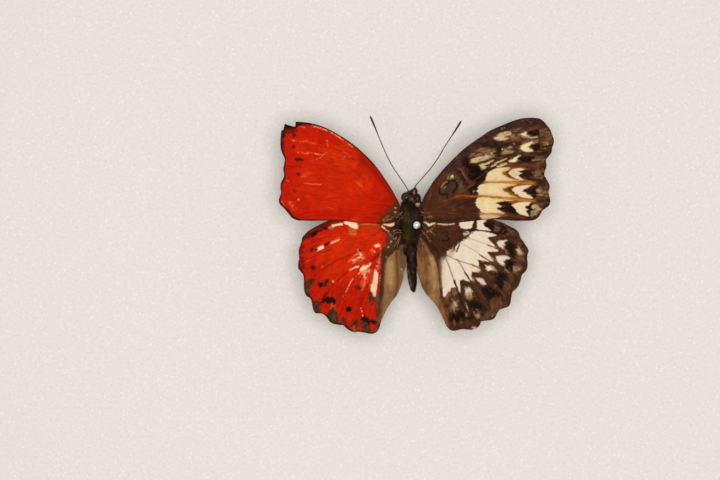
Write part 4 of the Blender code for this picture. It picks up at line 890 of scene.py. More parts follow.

# dark stripe and folded inner edge, with a painted highlight along the fold's middle and painted shade in its
# crease
# rubbed places and cream patches; the pale flecks among them also stand in for glints of sheen, a painted
# highlight
hindwingRedMarks = """
cloud orangeRed 5 0.8 320,236 350,230 380,228 372,255 340,285 318,262
cloud crimson 5 0.7 300,245 314,262 322,300 345,325 320,322 300,275
cloud crimson 4 0.6 340,285 372,290 375,325 340,322
comb deepRed 4 0.35 304,262 330,262 352,276 374,296 374,328 340,322 310,296
cloud orangeBrown 2 0.4 358,224 382,225 378,230 360,230
# dark leading edge
patch edgeBrown 1.2 0.85 300,242 303,234 309,229 316,225.5 324,221 333,218 345,218 346,222 339,221.8
    332,222.6 327,225 320,228.4 314,231 309,235 305,240.5
cloud darkRed 1.4 0.8 303,240 310,233 322,226 331,223.4 331,227 320,231 308,239
line ink 4.6 0.97 313,235.2 315.6,232.8
rub ink 2.6 1 317,231.4 322,229.4 327,227.8 331,227.2
line ink 1.6 0.8 318,231.4 321,230
line tan 2.2 0.8 330,228 334,226
line redCream 2.1 0.95 333,226 337,224.8 342,224.2
patch redCream 0.8 1 343.5,221.6 349,221 354,222 357.6,223 358.2,226 357.2,229 354.6,228.6 351,227.4
    347.6,225 345,223.4
cloud ochre 1.3 0.55 348,227.5 352,228.6 357,229 356,232 352,232.8 349.4,230.8
vein ochre 0.9 0.8 360,224.6 368,224.3 376,224.8 381,225
patch redUmber 1.4 0.97 376,212 400,210 402,226 394,229 384,226 378,224
patch darkUmber 1.6 0.97 381,228 387,228 392,222 396,214 408,214 409,252 397,253 389,252 386,244 386,236
    384,231
patch rootCream 0.6 0.95 382.5,224.4 386,223.9 390,223.9 394.4,222.4 394,224.4 391.4,226.4 388,226.2
    385,225.2
line redCream 0.9 0.8 382,226.4 385,228.6 388.6,231.4
rub greyHair 1 0.7 389,233 393,237 397,242
# spots
dot ink 2.2 0.9 311.8,249.8
dot darkRed 1.2 0.8 316.6,249
patch redCream 0.7 0.95 317.8,250.4 318.8,247.4 321,246 324.4,245.2 323.2,248 321,249.6
line darkRed 2.3 0.97 324.4,246 327,244 330,242.4
patch wornPale 0.7 0.95 329.8,244.2 332,241.8 335.4,240.3 340.5,238.7 338,241 334,242.6
rub worn 1 0.8 334,238.8 338.5,237.4
dot ink 2.3 0.9 313,267.6
dot ink 2.9 1 320.6,284.7
line edgeBrown 3.6 0.95 325,284.6 327,280.6
patch ink 0.9 0.97 320.4,304 322.4,300 326,297 331,296.6 335.4,298.6 336.4,302 333.4,305 329,303.4 325,303
line ink 1.8 0.85 322.6,299 325,295.6 326.4,293
dot ink 3 1 348.8,309.4
patch ink 0.9 0.97 361,318 364.6,315.6 369,317.8 369.4,320 376.6,320.4 376.8,323 371,324 366,323 362.6,321
dot oliveDark 2.5 0.9 357.4,287
dot darkRed 1.6 0.9 359.6,288
dot darkRed 1.2 0.8 360.2,250.4
# rubbed places and cream patches
dust worn 1.8 0.9 351,232.6 355,232 356,235.6 352,236
patch redCream 1 0.9 374.4,245.6 377,244.2 380,244.6 380.4,246 377.4,246.8
dot worn 0.9 0.7 380.5,248.5
rub wornPale 1.3 0.9 370,250.5 373,249.6 374.6,252 371.6,253
rub redCream 1.1 0.9 358,250 360.4,254.5 362,257.6 364,259 / 353,260.4 357.4,258.4 361.4,256.6
dust wornPale 1.6 0.35 348,262 352,257 358,253 364,253 364,259 354,263
line redCream 1.2 0.9 349,270.4 353,268.4 359,266
patch redCream 0.9 0.98 359.8,270.4 361.6,267.2 365,265.6 368,264.4 370.6,262.2 370.4,265 368,267.4 365,269
    362,271
dust redCream 1.3 0.5 363,271 369,268 370,273 366,278 361,275
patch redCream 0.7 1 374.8,269.6 376.8,272 378,276 377.4,283 376.4,290 375.2,296.6 373,294 371.2,290 371,286
    373,281 373.8,276
cloud pinkTan 0.9 0.75 374.4,272 376.4,276 376.4,286 375,295 372.4,290 373,280
line deepRed 1 0.8 378,288 379.4,280 379.6,274
rub wornPale 1 0.8 380.4,276 379.4,284
cloud oliveDark 1.8 0.95 370,291 373,296 375,300 373,306 369,303 368,297
dust tan 1.6 0.35 376,262 382,256 384,262 379,269
rub wornPale 1.1 0.8 346,292 351,282 356,276 362,270.6
rub worn 1.1 0.7 343,297 347,290
rub wornPale 1.1 0.6 361.6,291 364,284 366,277
dust worn 2 0.35 360,274 372,270 372,284 362,288
dot wornPale 1.1 0.7 333,281.6
dot worn 1.1 0.6 322,266.6
rub worn 1.2 0.7 303,263 309,260
rub wornPale 1.1 0.8 360.6,308 362.4,314 363,316
rub worn 1 0.6 336,311.4 339,310
# veins
vein deepRed 1.1 0.7 301,264 309,259 319,254 333,249
vein deepRed 1.2 0.75 314,276 322,269.6 334,262 347,256.6 360,251
vein deepRed 1.3 0.75 324,298 331,288 340,278 352,268
vein deepRed 1.3 0.7 352,322 357.6,312 362,302 366,290 370,279
vein darkRed 1.1 0.7 368,265 376,257 383,251
vein deepRed 1.2 0.6 303,247 316,240.6 330,236
# outer margin
vein darkUmber 2.8 0.95 303,238 300,247 298.6,256 298.8,264 301,270 304,276 304,285
dust darkRed 1.6 0.7 301,248 303,248 304,262 306,272 302,268 300,258
patch oliveDark 1.1 0.97 303,290 304,285 307.6,281.4 312,278 315.4,279 313.4,282.4 311,286 310.4,291
    309.6,297 304,295
dust dullTan 1.2 0.3 305,290 308,283 312,282 309,292 307,296
vein edgeBrown 2.6 0.95 305,294 310,297 313,302 315,308
patch oliveDark 1.1 0.97 311,302 316,300.6 321,303 319.4,307 320.4,311 316,314 312,310
dust dullTan 1.2 0.25 314,304 318,303 318,309 315,311
vein edgeBrown 2.6 0.95 316,312 322,313.6 327,316 330,320 334,323 341,323.6
patch oliveDark 1.1 0.97 328.6,311 333,307.6 336.6,311 338.4,316 338,323 331,323 328,317
dust dullTan 1.2 0.2 331,312 335,311 336.6,318 333,322
dust wornPale 1.4 0.15 331,303.6 335.6,304 335,308.6 331,308
patch oliveDark 1.3 0.9 342,318 346,316.6 346.6,322 342.6,324
vein edgeBrown 2.6 0.95 340,324 346,326 350,330 356,331.8 364,332 372,333.4 377,331.4
patch oliveDark 1.4 0.95 351.6,323.6 357,318.6 358.6,323 355.6,329.6 350.6,328
dust ochre 1 0.6 351.6,327 357,326 356,330.6 353,330.6
patch oliveDark 1.1 0.97 361,321.6 366,323 369.6,325.4 371,332 364.6,332 361,328
dust dullTan 1.2 0.35 362,324 367,326 368.6,331 363,330
patch olive 1.4 0.95 375,296 384,292 383.6,306 382,322 379.6,332 374,336 373,333 376.4,326 377.4,312
comb edgeBrown 1.4 0.6 375,298 382,296 380,326 377,328
# dark stripe and folded inner edge
patch oliveDark 1.4 0.95 381,250 385,246.6 391,243 397,240 399,246 394,251.6 389.6,257 387,265 385.6,274
    385.2,284 384.4,293 381,300 378.6,298 379.4,288 380.2,278 380.6,268 380.6,259
comb rust 1.4 0.15 382,258 386,256 384,270 383.4,296 381,298 381.6,276
dot greyHair 0.7 0.7 386,257.4
dot pinkTan 0.75 0.7 379,262.4 / 377,266.4
rub tan 0.8 0.6 381.6,249 380,256 378.6,264 377.4,269
cloud chestnut 1.8 0.5 385,229 391,229 393,238 391,248 386,252 384,248 387,240
dust dullTan 1.2 0.25 387,232 392,234 397,241 391,250 386,250 389,241
dot greyHair 0.75 0.75 394.2,230.8 / 396,238
dot pinkTan 0.75 0.75 391.2,241.8
dot pinkTan 0.8 0.7 388.6,247
line chestnut 1.6 0.5 385,264 384,274 383.8,284 383.4,292
patch greyTan 1 1 398.6,247 404,245 411,250 412,269 406,272 401.6,269 399,260
comb dullTan 2.5 0.6 400,248 408,254 409,268 401,268
cloud furDark 2 0.5 398,246 410,246 409,256 400,253
patch beige 0.8 1 393,254 396,250.4 399.4,251 400,260 401.4,268.6 404.6,270 405.6,278 404,288 400,297
    396,304 391,311 387,318 383,327 381,327 382,314 383.4,304 384,296 384.4,287 384.8,277 385.6,268 388,258
glow lightBeige 3.6 0.85 391,264 391,272 390,282
cloud greyTan 2.5 0.5 383,294 396,292 392,306 382,318
glow foldBrown 1.6 0.9 396.4,252 397,262 397.6,274 397.4,286 394,299
cloud dullTan 1.6 0.7 400,270 404,272 405,284 400,296 399,284
rub pinkTan 1.3 0.7 400.6,268.6 404,269.8 407,268.6
"""

wings = {
    "forewing_left": {
        "level": "fore", "half": "red", "seed": 11, "marks": forewingRedMarks,
        "veins": mirroredVeins(forewingVeins, (2.8, 3.7), (0.92, 0.956)),
        "outline": forewingRed, "corners": (14, 15, 17, 18),  # the corners of the torn tip
    },
    "forewing_right": {
        "level": "fore", "half": "brown", "seed": 12, "marks": forewingBrownMarks, "veins": forewingVeins,
        "outline": forewingBrown, "corners": (),
    },
    "hindwing_left": {
        "level": "hind", "half": "red", "seed": 13, "marks": hindwingRedMarks,
        "veins": mirroredVeins(hindwingVeins, (2.6, -0.5), (0.975, 1.03)),
        "outline": hindwingRed, "corners": (),
    },
    "hindwing_right": {
        "level": "hind", "half": "brown", "seed": 14, "marks": hindwingBrownMarks, "veins": hindwingVeins,
        "outline": hindwingBrown, "corners": (),
    },
}


def wingHeight(points, level):
    height, distance = wingForm["levels"][level]
    out, y = np.abs(points[:, 0]), points[:, 1]
    if level == "fore":
        rise, chord = wingForm["camber"]
        camber = rise * np.sin(math.pi * np.clip(y / chord, 0, 1))
        return height + wingForm["lift"] * (out - distance) + camber
    drop = wingForm["foldDrop"] * smooth(*wingForm["foldAcross"], -out) * smooth(*wingForm["foldAlong"], -y)
    return height + wingForm["lift"] * (out - distance) - drop


def smoothOutline(outline, corners, step):
    # smooth between the corners, which stay sharp
    if not corners:
        return throughPoints(outline, step, closed=True)
    first, count = corners[-1], len(outline)
    outline = [*outline[first:], *outline[:first]]
    stops = [(corner - first) % count for corner in corners[:-1]] + [count]
    line = []
    start = 0
    for stop in stops:
        line.append(throughPoints([*outline[start:stop], outline[stop % count]], step)[:-1])
        start = stop
    return np.vstack(line)


def spread(groups, room):
    # keeps the points that are not too near an earlier one, group by group
    kept, taken, numbers = [], {}, []
    for group in groups:
        mine = []
        for x, y in group:
            cell = (int(x // room), int(y // room))
            near = None
            for i in (-1, 0, 1):
                for j in (-1, 0, 1):
                    k = taken.get((cell[0] + i, cell[1] + j))
                    if k is not None and math.hypot(kept[k][0] - x, kept[k][1] - y) < room:
                        near = k
            if near is None:
                taken[cell] = len(kept)
                near = len(kept)
                kept.append((x, y))
            mine.append(near)
        numbers.append(mine)
    return kept, numbers


def grainOf(points, centre, farFan=None):
    # how far each place lies across and along its row of scales, and the way that row runs
    away = points - centre
    reach = np.maximum(np.linalg.norm(away, axis=1), 0.01)  # never nothing
    out = np.abs(away[:, 0])
    across = scaleForm["nearFan"] * np.arctan2(away[:, 1], out)
    outward = away / reach[:, None]
    if farFan:
        behind, width, begins, ends = farFan
        share = smooth(begins, ends, reach)
        across = across + share * (width * np.arctan2(away[:, 1], out + behind) - across)
        level = np.column_stack([np.copysign(out + behind, away[:, 0]), away[:, 1]])
        outward = outward + share[:, None] * (level / np.linalg.norm(level, axis=1)[:, None] - outward)
    return across, reach, outward


def readMarks(text):
    shapes = []
    for line in text.replace("\n    ", " ").splitlines():
        if line and not line.startswith("#"):
            kind, paint, edge, strength, *points = line.split()
            shapes += [(kind, paint, float(edge), float(strength), drawn(path))
                       for path in " ".join(points).split(" / ")]
    return shapes


def coverOf(kind, here, shape, edge):
    # how far a marking covers each place, from 0 to 1
    if kind == "dot":
        away = np.linalg.norm(here - shape[0], axis=1)
        return 1 - smooth(edge - 0.7, edge + 0.7, away)
    if kind in ("line", "rub", "vein", "glow"):
        away, _ = nearLine(here, throughPoints(shape, 1.0))
        if kind == "glow":
            return np.exp(-(away / edge) ** 2)
        return 1 - smooth(edge / 2 - 0.45, edge / 2 + 0.55, away)
    outline = throughPoints(shape, 0.7, closed=True)
    away, _ = nearLine(here, np.vstack([outline, outline[:1]]))
    return 1 - smooth(-edge, edge, np.where(isInside(here, outline), -away, away))


def paintMarks(points, marks, seed, grain, weather):
    # the rows of scales shift the markings' edges, and streak what is painted
    def mottled(where, size, number):
        return speckle(where, size, seed + number)

    originX, originY, square = wingForm["drawnOn"]
    across, along, outward = grain
    streaks = [scaleForm[word] for word in ("row", "fineRow", "stroke", "stray")]
    rows, fineRows, strokes, strays = [np.column_stack([across / width, along / length])
                                       for width, length in streaks]
    fray = scaleForm["fray"] * mottled(rows, 1, 0) + scaleForm["fineFray"] * mottled(fineRows, 1, 1)
    ragged = np.column_stack([mottled(points, 0.3, 2), mottled(points, 0.3, 3)])
    drawnAt = np.column_stack([originX + points[:, 0] / square, originY - points[:, 1] / square])
    fray = outward * (1, -1) * fray[:, None]
    mottle = 0.45 * mottled(rows, 1, 4) + 0.3 * mottled(fineRows, 1, 5) + 0.45 * mottled(points, 0.5, 6)
    colour = np.tile(fromScreen(*scaleColours[weather["base"]]), (len(points), 1))
    for number, (kind, paint, edge, strength, shape) in enumerate(readMarks(marks)):
        low, high = shape.min(0) - 2 * edge - 3, shape.max(0) + 2 * edge + 3
        near = np.where(np.all((drawnAt > low) & (drawnAt < high), axis=1))[0]
        if not len(near):
            continue
        here = drawnAt[near]
        if kind not in ("vein", "glow"):  # softer edges fray further
            loose = 1.3 * edge if kind in ("patch", "cloud", "comb", "dust") else 0.6
            here = here + fray[near] * min(max(loose, 0.7), 1.8) + scaleForm["ragged"] * ragged[near]
        cover = coverOf(kind, here, shape, edge)
        if kind == "cloud":
            cover = np.clip(cover * (0.8 + 1.3 * mottle[near]), 0, 1)
        if kind == "comb":
            teeth = mottled(strokes[near], 1, 20 + number) + 0.5 * mottled(points[near], 0.35, 13)
            cover = cover * smooth(-0.35, 0.45, teeth)
        if kind == "rub":
            grit = mottled(points[near], 0.26, 60 + number) + 0.6 * mottled(strokes[near], 1, 14)
            cover = cover * smooth(-0.6, 0.5, grit)
        if kind == "dust":
            grit = 0.5 * mottled(points[near], 0.3, 13) + 1.2 * mottled(strokes[near], 1, 60 + number)
            cover = cover * smooth(-0.75, 0.5, grit)
        cover = (cover * strength)[:, None]
        colour[near] = colour[near] * (1 - cover) + np.array(fromScreen(*scaleColours[paint])) * cover
    # stray scales of another colour, then lighter and darker rows, which show most on dark ground
    stray = mottled(strays, 1, 7) * (0.7 + 0.6 * mottled(points, 2.0, 8))
    cover = weather["flecks"] * smooth(0.45, 0.8, stray)
    colour = colour + (np.array(fromScreen(*scaleColours[weather["fleck"]])) - colour) * cover[:, None]
    light = 0.55 * mottled(rows, 1, 9) + 0.35 * mottled(fineRows, 1, 10) + 0.5 * mottled(points, 1.1, 11)
    brightness = smooth(0.1, 0.45, colour @ luminance)
    depth = weather["deep"] + (weather["pale"] - weather["deep"]) * brightness
    return np.clip(colour * np.exp(depth * light)[:, None], 0.001, 1)


def paintUnderside(points, reachShare, leaf, seed):
    # the photo doesn't show the underside; it is a dull leaf brown with dark lines
    leaf = np.array(fromScreen(*leaf))
    shade = np.array(fromScreen(*undersideForm["shade"]))
    dark = np.array(fromScreen(*undersideForm["dark"]))
    cloud = 0.5 + 0.5 * (0.6 * speckle(points, 2.6, seed) + 0.4 * speckle(points, 0.5, seed + 1))
    colour = leaf + (shade - leaf) * cloud[:, None]
    wave = undersideForm["line"] + 0.02 * np.sin(points[:, 1] * 2.2) + 0.012 * speckle(points, 0.8, seed + 2)
    line = 1 - smooth(0.008, 0.03, np.abs(reachShare - wave))
    second = 0.5 * (1 - smooth(0.01, 0.05, np.abs(reachShare - wave * undersideForm["line"])))
    edge = 0.6 * smooth(0.86, 1.0, reachShare)
    for cover in (line, second, edge):
        colour = colour + (dark - colour) * np.clip(cover, 0, 1)[:, None]
    return colour


def wingNet(rim, veins, seed):
    # points spread evenly inside the rim and closely along the veins, joined to triangles
    grid = wingForm["grid"]
    closedRim = np.vstack([rim, rim[:1]])
    ridges = []
    for vein in veins:
        fromRim, _ = nearLine(vein, closedRim)
        ridges.append(vein[isInside(vein, rim) & (fromRim > wingForm["veinEnd"])])
    low, high = rim.min(0), rim.max(0)
    lattice = []
    for k, y in enumerate(np.arange(low[1], high[1], grid * math.sqrt(0.75))):
        x = np.arange(low[0] + grid * 0.5 * (k % 2), high[0], grid)
        lattice.append(np.column_stack([x, np.full(len(x), y)]))
    lattice = np.vstack(lattice)
    lattice = lattice + np.random.default_rng(seed).uniform(-0.08, 0.08, lattice.shape) * grid
    lattice = lattice[isInside(lattice, rim)]
    coarse = rim[::4]
    fromRim, _ = nearLine(lattice, np.vstack([coarse, coarse[:1]]))
    lattice = lattice[fromRim > 0.45 * grid]
    kept, numbers = spread([rim, *ridges, lattice], 0.5 * grid)
    lines = []
    for mine in numbers[1:-1]:
        lines += [(a, b) for a, b in zip(mine, mine[1:]) if a != b and abs(a - b) < 3]
    face = [k for k, following in zip(numbers[0], numbers[0][1:] + numbers[0][:1]) if k != following]
    insideOnly = 1  # triangles within the rim, and none around it
    flat, _, faces, _, _, _ = delaunay_2d_cdt([Vector(p) for p in kept], lines, [face], insideOnly, 1e-7)
    return np.array([(p.x, p.y) for p in flat]), [tuple(f) for f in faces]


def nearestVein(points, veins):
    # how far each point is from a vein, and how far out along that vein (0 to 1)
    fromVein = np.full(len(points), np.inf)
    veinShare = np.zeros(len(points))
    for vein in veins:
        away, share = nearLine(points, vein[::3] if len(vein) > 9 else vein)  # every third point will do
        closer = away < fromVein
        fromVein[closer], veinShare[closer] = away[closer], share[closer]
    return fromVein, veinShare


def wingFaces(points, form, fromVein, veinShare, fromRim):
    # the upper and the lower face: raised veins, pleats between them and a thin rim
    slim = 1 - 0.5 * veinShare
    profile = 0.5 + 0.5 * np.cos(math.pi * np.clip(fromVein / (wingForm["veinHalfWidth"] * slim), 0, 1))
    ridge = wingForm["veinRise"] * slim * profile * smooth(0.0, 0.5, fromRim)
    pleat = wingForm["pleat"] * smooth(0.1, 1.5, fromVein) * smooth(0.0, 1.5, fromRim)
    fine, broad = [depth * speckle(points, size, form["seed"] + seed)
                   for depth, size, seed in wingForm["ripples"]]
    middle = wingHeight(points, form["level"]) - pleat + (fine + broad)
    rim = wingForm["rimThickness"]
    half = 0.5 * (rim + (wingForm["thickness"] - rim) * smooth(0, 0.5, fromRim))
    top = np.column_stack([points, middle + half + ridge]) * mm
    bottom = np.column_stack([points, middle - half - 0.7 * ridge]) * mm
    return top, bottom


def paintWing(mesh, points, form, fromVein, fromRim):
    side = math.copysign(1, form["outline"][0][0])
    fan = np.array([side * scaleForm["fanX"], scaleForm["fanY"][form["level"]]])
    grain = grainOf(points, fan, scaleForm["farFan"][form["level"]])
    across, reach, _ = grain
    weather = scaleForm[form["half"]]
    upper = paintMarks(points, form["marks"], form["seed"], grain, weather)
    dusky = 1 - smooth(0.05, 0.2, upper @ luminance)
    onVein = weather["veins"] * np.exp(-(fromVein / scaleForm["onVein"]) ** 2) * dusky
    upper = upper + (np.array(fromScreen(*scaleColours[weather["vein"]])) - upper) * onVein[:, None]
    leaf = undersideForm["leaf"][form["half"]]
    lower = paintUnderside(points, reach / (reach + fromRim), leaf, form["seed"] + 70)
    colours = np.ones((2 * len(points), 4), np.float32)
    colours[:, :3] = np.vstack([upper, lower])
    mesh.attributes.new("scales", "FLOAT_COLOR", "POINT").data.foreach_set("color", colours.ravel())
    for label, values in (("across", across), ("reach", reach)):
        both = np.concatenate([values, values]).astype(np.float32)
        mesh.attributes.new(label, "FLOAT", "POINT").data.foreach_set("value", both)


def buildWing(name, form):
    side = math.copysign(1, form["outline"][0][0])
    root = [(side * wingForm["rootX"], y) for y in wingForm["rootY"][form["level"]]]
    rim = smoothOutline([*form["outline"], *root], form["corners"], wingForm["grid"])
    if side > 0:
        rim = rim[::-1]
    veins = [throughPoints(vein, wingForm["grid"]) for vein in form["veins"]]
    points, faces = wingNet(rim, veins, form["seed"])
    count = len(points)
    fromVein, veinShare = nearestVein(points, veins)
    fromRim, _ = nearLine(points, np.vstack([rim[::2], rim[:1]]))
    edges = dict.fromkeys(edge for face in faces for edge in zip(face, face[1:] + face[:1]))
    border = [(a, b) for a, b in edges if (b, a) not in edges]
    under = [tuple(k + count for k in reversed(face)) for face in faces]
    walls = [(b, a, a + count, b + count) for a, b in border]
    sides = np.vstack(wingFaces(points, form, fromVein, veinShare, fromRim))
    piece = meshPiece(name, sides, faces + under + walls, wingFinish)
    paintWing(piece.data, points, form, fromVein, fromRim)
    return piece


wingLook = {
    "streaks": (1.33, 0.35, 3.2),  # across and along the rows of scales, and the noise's scale
    "scales": (2.6, 8.0),
    "grain": 9000,
    "blotches": 1100,
}


def makeWingFinish():
    finish = Finish("wing scales", roughness=0.6, Specular_IOR_Level=0.015)
    colour = finish.carried("scales", "Color")
    across = finish.carried("across")
    along = finish.carried("reach")
    wide, long, scale = wingLook["streaks"]
    streaks = finish.noise(finish.vector(across * wide, along * long), scale, 4, 0.65)
    place = finish.place()
    grain = finish.noise(place, wingLook["grain"], 3, 0.7)
    blotch = finish.noise(place, wingLook["blotches"], 3, 0.6)
    wide, scale = wingLook["scales"]
    scaleCells = finish.cells(finish.vector(across * wide, along), scale)
    light = 1.0 + (streaks - 0.5) * 0.3 + (grain - 0.5) * 0.5 + (blotch - 0.5) * 0.2
    finish.colour(finish.mix(colour, finish.vector(light, light, light), 1.0, "MULTIPLY"))
    finish.rough(0.52 + (grain - 0.5) * 0.3 + scaleCells * 0.12)
    finish.bump(scaleCells * 0.6 + grain * 0.6 + streaks * 0.5, 0.00003, 0.5)
    return finish


wingFinish = makeWingFinish()
for wingName, wingSpec in wings.items():
    wingPiece = buildWing(wingName + "_scales", wingSpec)
    handOver(wingPiece, wingSpec["half"] + "_wing", wingName)
    print(wingName, len(wingPiece.data.vertices), "points", len(wingPiece.data.polygons), "faces")


bodyForm = {
    # rings of (y, centre x, centre z, half width, half height)
    "thorax": [(5.6, 0, 26.4, 0.4, 0.4), (5.45, 0, 26.4, 1.3, 1.1), (4.9, 0, 26.5, 1.85, 1.6),
               (4.2, 0, 26.6, 2.2, 2.15), (3.0, 0, 26.6, 2.45, 2.5), (1.2, 0, 26.6, 2.7, 2.7),
               (-0.8, 0, 26.6, 2.7, 2.7), (-2.6, 0, 26.5, 2.4, 2.4), (-3.9, 0, 26.4, 1.85, 1.85),
               (-4.8, 0.05, 26.3, 1.2, 1.2), (-5.1, 0.05, 26.3, 0.75, 0.75)],
    "head": [(8.38, 0.05, 26.5, 0.08, 0.08), (8.2, 0.05, 26.5, 0.45, 0.5), (7.9, 0.05, 26.55, 0.95, 0.95),
             (7.3, 0.05, 26.6, 1.4, 1.35), (6.5, 0.05, 26.6, 1.6, 1.5), (5.7, 0, 26.55, 1.35, 1.3),
             (5.0, 0, 26.5, 0.85, 0.85)],
    "furrow": 0.16,  # depth of the line down the thorax's middle
    "abdomenSegments": 8,
    # along a segment (0 to 1), and its girth there
    "segmentShape": ((0.0, 0.99), (0.3, 1.01), (0.74, 1.0), (0.9, 0.98), (0.98, 0.93)),
    "abdomenLength": 10.9,
    "abdomenFront": -4.6,
    "abdomenZ": 26.4,
    "abdomenRadius": 1.12,
    "abdomenSway": 0.5,
    "dents": 0.09,
    # centre and radii; a tegula covers a forewing's root
    "tufts": {"tegula_left": ((-2.15, 3.7, 28.0), (0.55, 0.95, 0.45)),
              "tegula_right": ((2.15, 3.7, 28.0), (0.55, 0.95, 0.45)),
              "collar_tuft": ((1.5, 5.1, 27.5), (0.44, 0.32, 0.34)),
              "waist_tuft": ((-0.2, -4.9, 26.5), (1.7, 2.5, 1.1)),
              "neck_tuft_left": ((-1.75, 5.05, 26.4), (0.55, 0.75, 0.6)),
              "neck_tuft_right": ((2.1, 5.15, 26.4), (0.5, 0.8, 0.6))},
    # each part's seed, the way its hairs are combed, and its coats
    "skins": {"thorax": (31, (0, -1.3, 0.1), ("thorax", "shag")), "head": (32, (0, 0.9, 0.3), ("head",)),
              "abdomen": (33, (0, -2.6, 0), ("abdomen",))},
    "grainFrom": (0.0, 12.0),  # the hair's rows fan out from here
    "weather": {"base": "furDark", "deep": 1.0, "pale": 0.3, "fleck": "mauve", "flecks": 0.3},
}

# hairs on a square millimetre, their length in millimetres, then girth, bend, scatter and seed
furForm = {
    "thorax": (24, 0.75, 0.035, 0.25, 0.45, 21),
    "tufts": (24, 0.4, 0.06, 0.25, 0.4, 27),
    "shag": (4, 1.5, 0.018, 0.4, 0.8, 22),
    "head": (32, 0.5, 0.05, 0.3, 0.5, 23),
    "abdomen": (46, 0.36, 0.08, 0.2, 0.22, 24),
    "palps": (42, 0.42, 0.05, 0.3, 0.4, 25),
    "spines": (7, 0.26, 0.06, 0.1, 0.35, 26),
}

bodyMarks = """
cloud furOlive 2 1 403,210 407,206 410,214 409,226 412,240 405,243 401,228
cloud furOlive 2 0.6 411,212 415,210 415,222 413,234 410,226
cloud furPlum 2 0.8 397,212 402,212 401,230 404,246 396,244
cloud furRust 2 0.8 416,206 423,210 425,236 419,246 416,228
patch furRust 1.5 0.9 414,190 421,190 422,202 418,206 414,198
line mauve 2.4 0.8 411.6,199.4 414,201.6 417,203.6
patch collar 0.8 1 415.6,202.6 418.6,202.8 419.6,204.6 418.8,206 416,205.2
line pinkTan 1.6 0.9 413.4,191.2 414.4,193
cloud mauve 1.5 0.4 399,243 406,244 405,251 399,252
patch abdomenDark 1.5 0.9 404,250 418,248 418,294 409,294 405,262
cloud abdomenTan 1.4 0.9 406,270 409,272 411.4,282 413,289 410.6,290 407.6,282
dot abdomenTan 1.2 0.5 413.6,273
line furRust 2.5 0.4 411,246 412,258 412.5,270
"""


def paintBody(mesh, seed):
    # hair and skin take one colour, painted from above like the wings
    points = np.empty(len(mesh.vertices) * 3)
    mesh.vertices.foreach_get("co", points)
    flat = points.reshape(-1, 3)[:, :2] / mm
    grain = grainOf(flat, np.array(bodyForm["grainFrom"]))
    colours = np.ones((len(flat), 4), np.float32)
    colours[:, :3] = paintMarks(flat, bodyMarks, seed, grain, bodyForm["weather"])
    mesh.attributes.new("coat", "FLOAT_COLOR", "POINT").data.foreach_set("color", colours.ravel())


def makeCoatFinishes():
    skin = Finish("body skin", roughness=0.6, Specular_IOR_Level=0.1)
    coat = skin.carried("coat", "Color")
    grain = skin.noise(skin.place(), 5000, 3, 0.6)
    skin.colour(skin.mix(coat, (0.006, 0.004, 0.002), 0.1 + grain * 0.4))
    skin.bump(grain, 0.00006, 0.6)
    hair = Finish("body hair", roughness=0.5, Specular_IOR_Level=0.04)
    coat = hair.carried("coat", "Color")
    along, tone = hair.carried("along"), hair.carried("tone")
    light = 0.4 + along * 0.4 + tone * 0.9  # paler towards the tip
    hair.colour(hair.mix(coat, hair.vector(light, light, light), 1.0, "MULTIPLY"))
    hair.rough(0.45 + tone * 0.2)
    return skin, hair


skinFinish, hairFinish = makeCoatFinishes()


def loopFaces(loops, sides):
    # the faces of a closed skin through loops of points, with a cap at each end
    faces = []
    for loop in range(loops - 1):
        for k in range(sides):
            a, b = loop * sides + k, loop * sides + (k + 1) % sides
            faces.append((a, b, b + sides, a + sides))
    faces.append(tuple(reversed(range(sides))))
    faces.append(tuple(range((loops - 1) * sides, loops * sides)))
    return faces


def lofted(name, rings, sides, step, shape=None):
    # a closed skin through the rings, smoothed between them
    rings = throughPoints(rings, step)
    turn = twoPi * np.arange(sides) / sides
    points = np.array([(x + width * math.cos(t), y, z + height * math.sin(t))
                       for y, x, z, width, height in rings for t in turn])
    if shape:
        points = shape(points)
    return meshPiece(name, points * mm, loopFaces(len(rings), sides), skinFinish)


def ellipsoid(name, centre, radii, finish, segments, rings):
    # its faces are always in the same order, as that order decides where hair grows on them
    points = []
    for ring in range(1, rings):
        rise = math.pi * (ring / rings - 0.5)
        for k in range(segments):
            turn = twoPi * k / segments
            points.append((math.cos(rise) * math.cos(turn), math.cos(rise) * math.sin(turn), math.sin(rise)))
    *faces, bottom, top = loopFaces(rings - 1, segments)
    for cap, pole in ((bottom, -1.0), (top, 1.0)):
        faces += [(a, b, len(points)) for a, b in zip(cap, cap[1:] + cap[:1])]
        points.append((0.0, 0.0, pole))
    return meshPiece(name, (np.array(points) * radii + centre) * mm, faces, finish)


def thoraxLobes(points):
    # two long lobes with a line between them and one down each side, and a shield across the rear
    x, y, z = points.T
    above = smooth(26.6, 28.4, z)
    line = np.exp(-(x / 0.22) ** 2) * smooth(-3.6, -2.4, y)
    aside = np.abs(x) - 1.35 - 0.05 * y
    sideLines = np.exp(-(aside / 0.25) ** 2) * smooth(-2.6, -1.4, y) * (1 - smooth(3.2, 4.4, y))
    across = np.exp(-((y + 2.6 + 0.35 * np.cos(x)) / 0.22) ** 2)
    z = z - bodyForm["furrow"] * above * (line + 0.6 * sideLines + 0.9 * across)
    return np.column_stack([x, y, z])


def abdomenRings():
    form = bodyForm
    rings = []
    for segment in range(form["abdomenSegments"]):
        for share, girth in form["segmentShape"]:
            t = (segment + share) / form["abdomenSegments"]
            swell = math.sqrt(max(0.0, 1.0 - abs(2 * t - 0.86) ** 2.6 / 1.14**2.6))  # widest at t = 0.43
            radius = form["abdomenRadius"] * max(0.16, swell) * girth
            y = form["abdomenFront"] - form["abdomenLength"] * t
            rings.append((y, 0.1 + form["abdomenSway"] * t**2, form["abdomenZ"], radius, radius))
    return rings


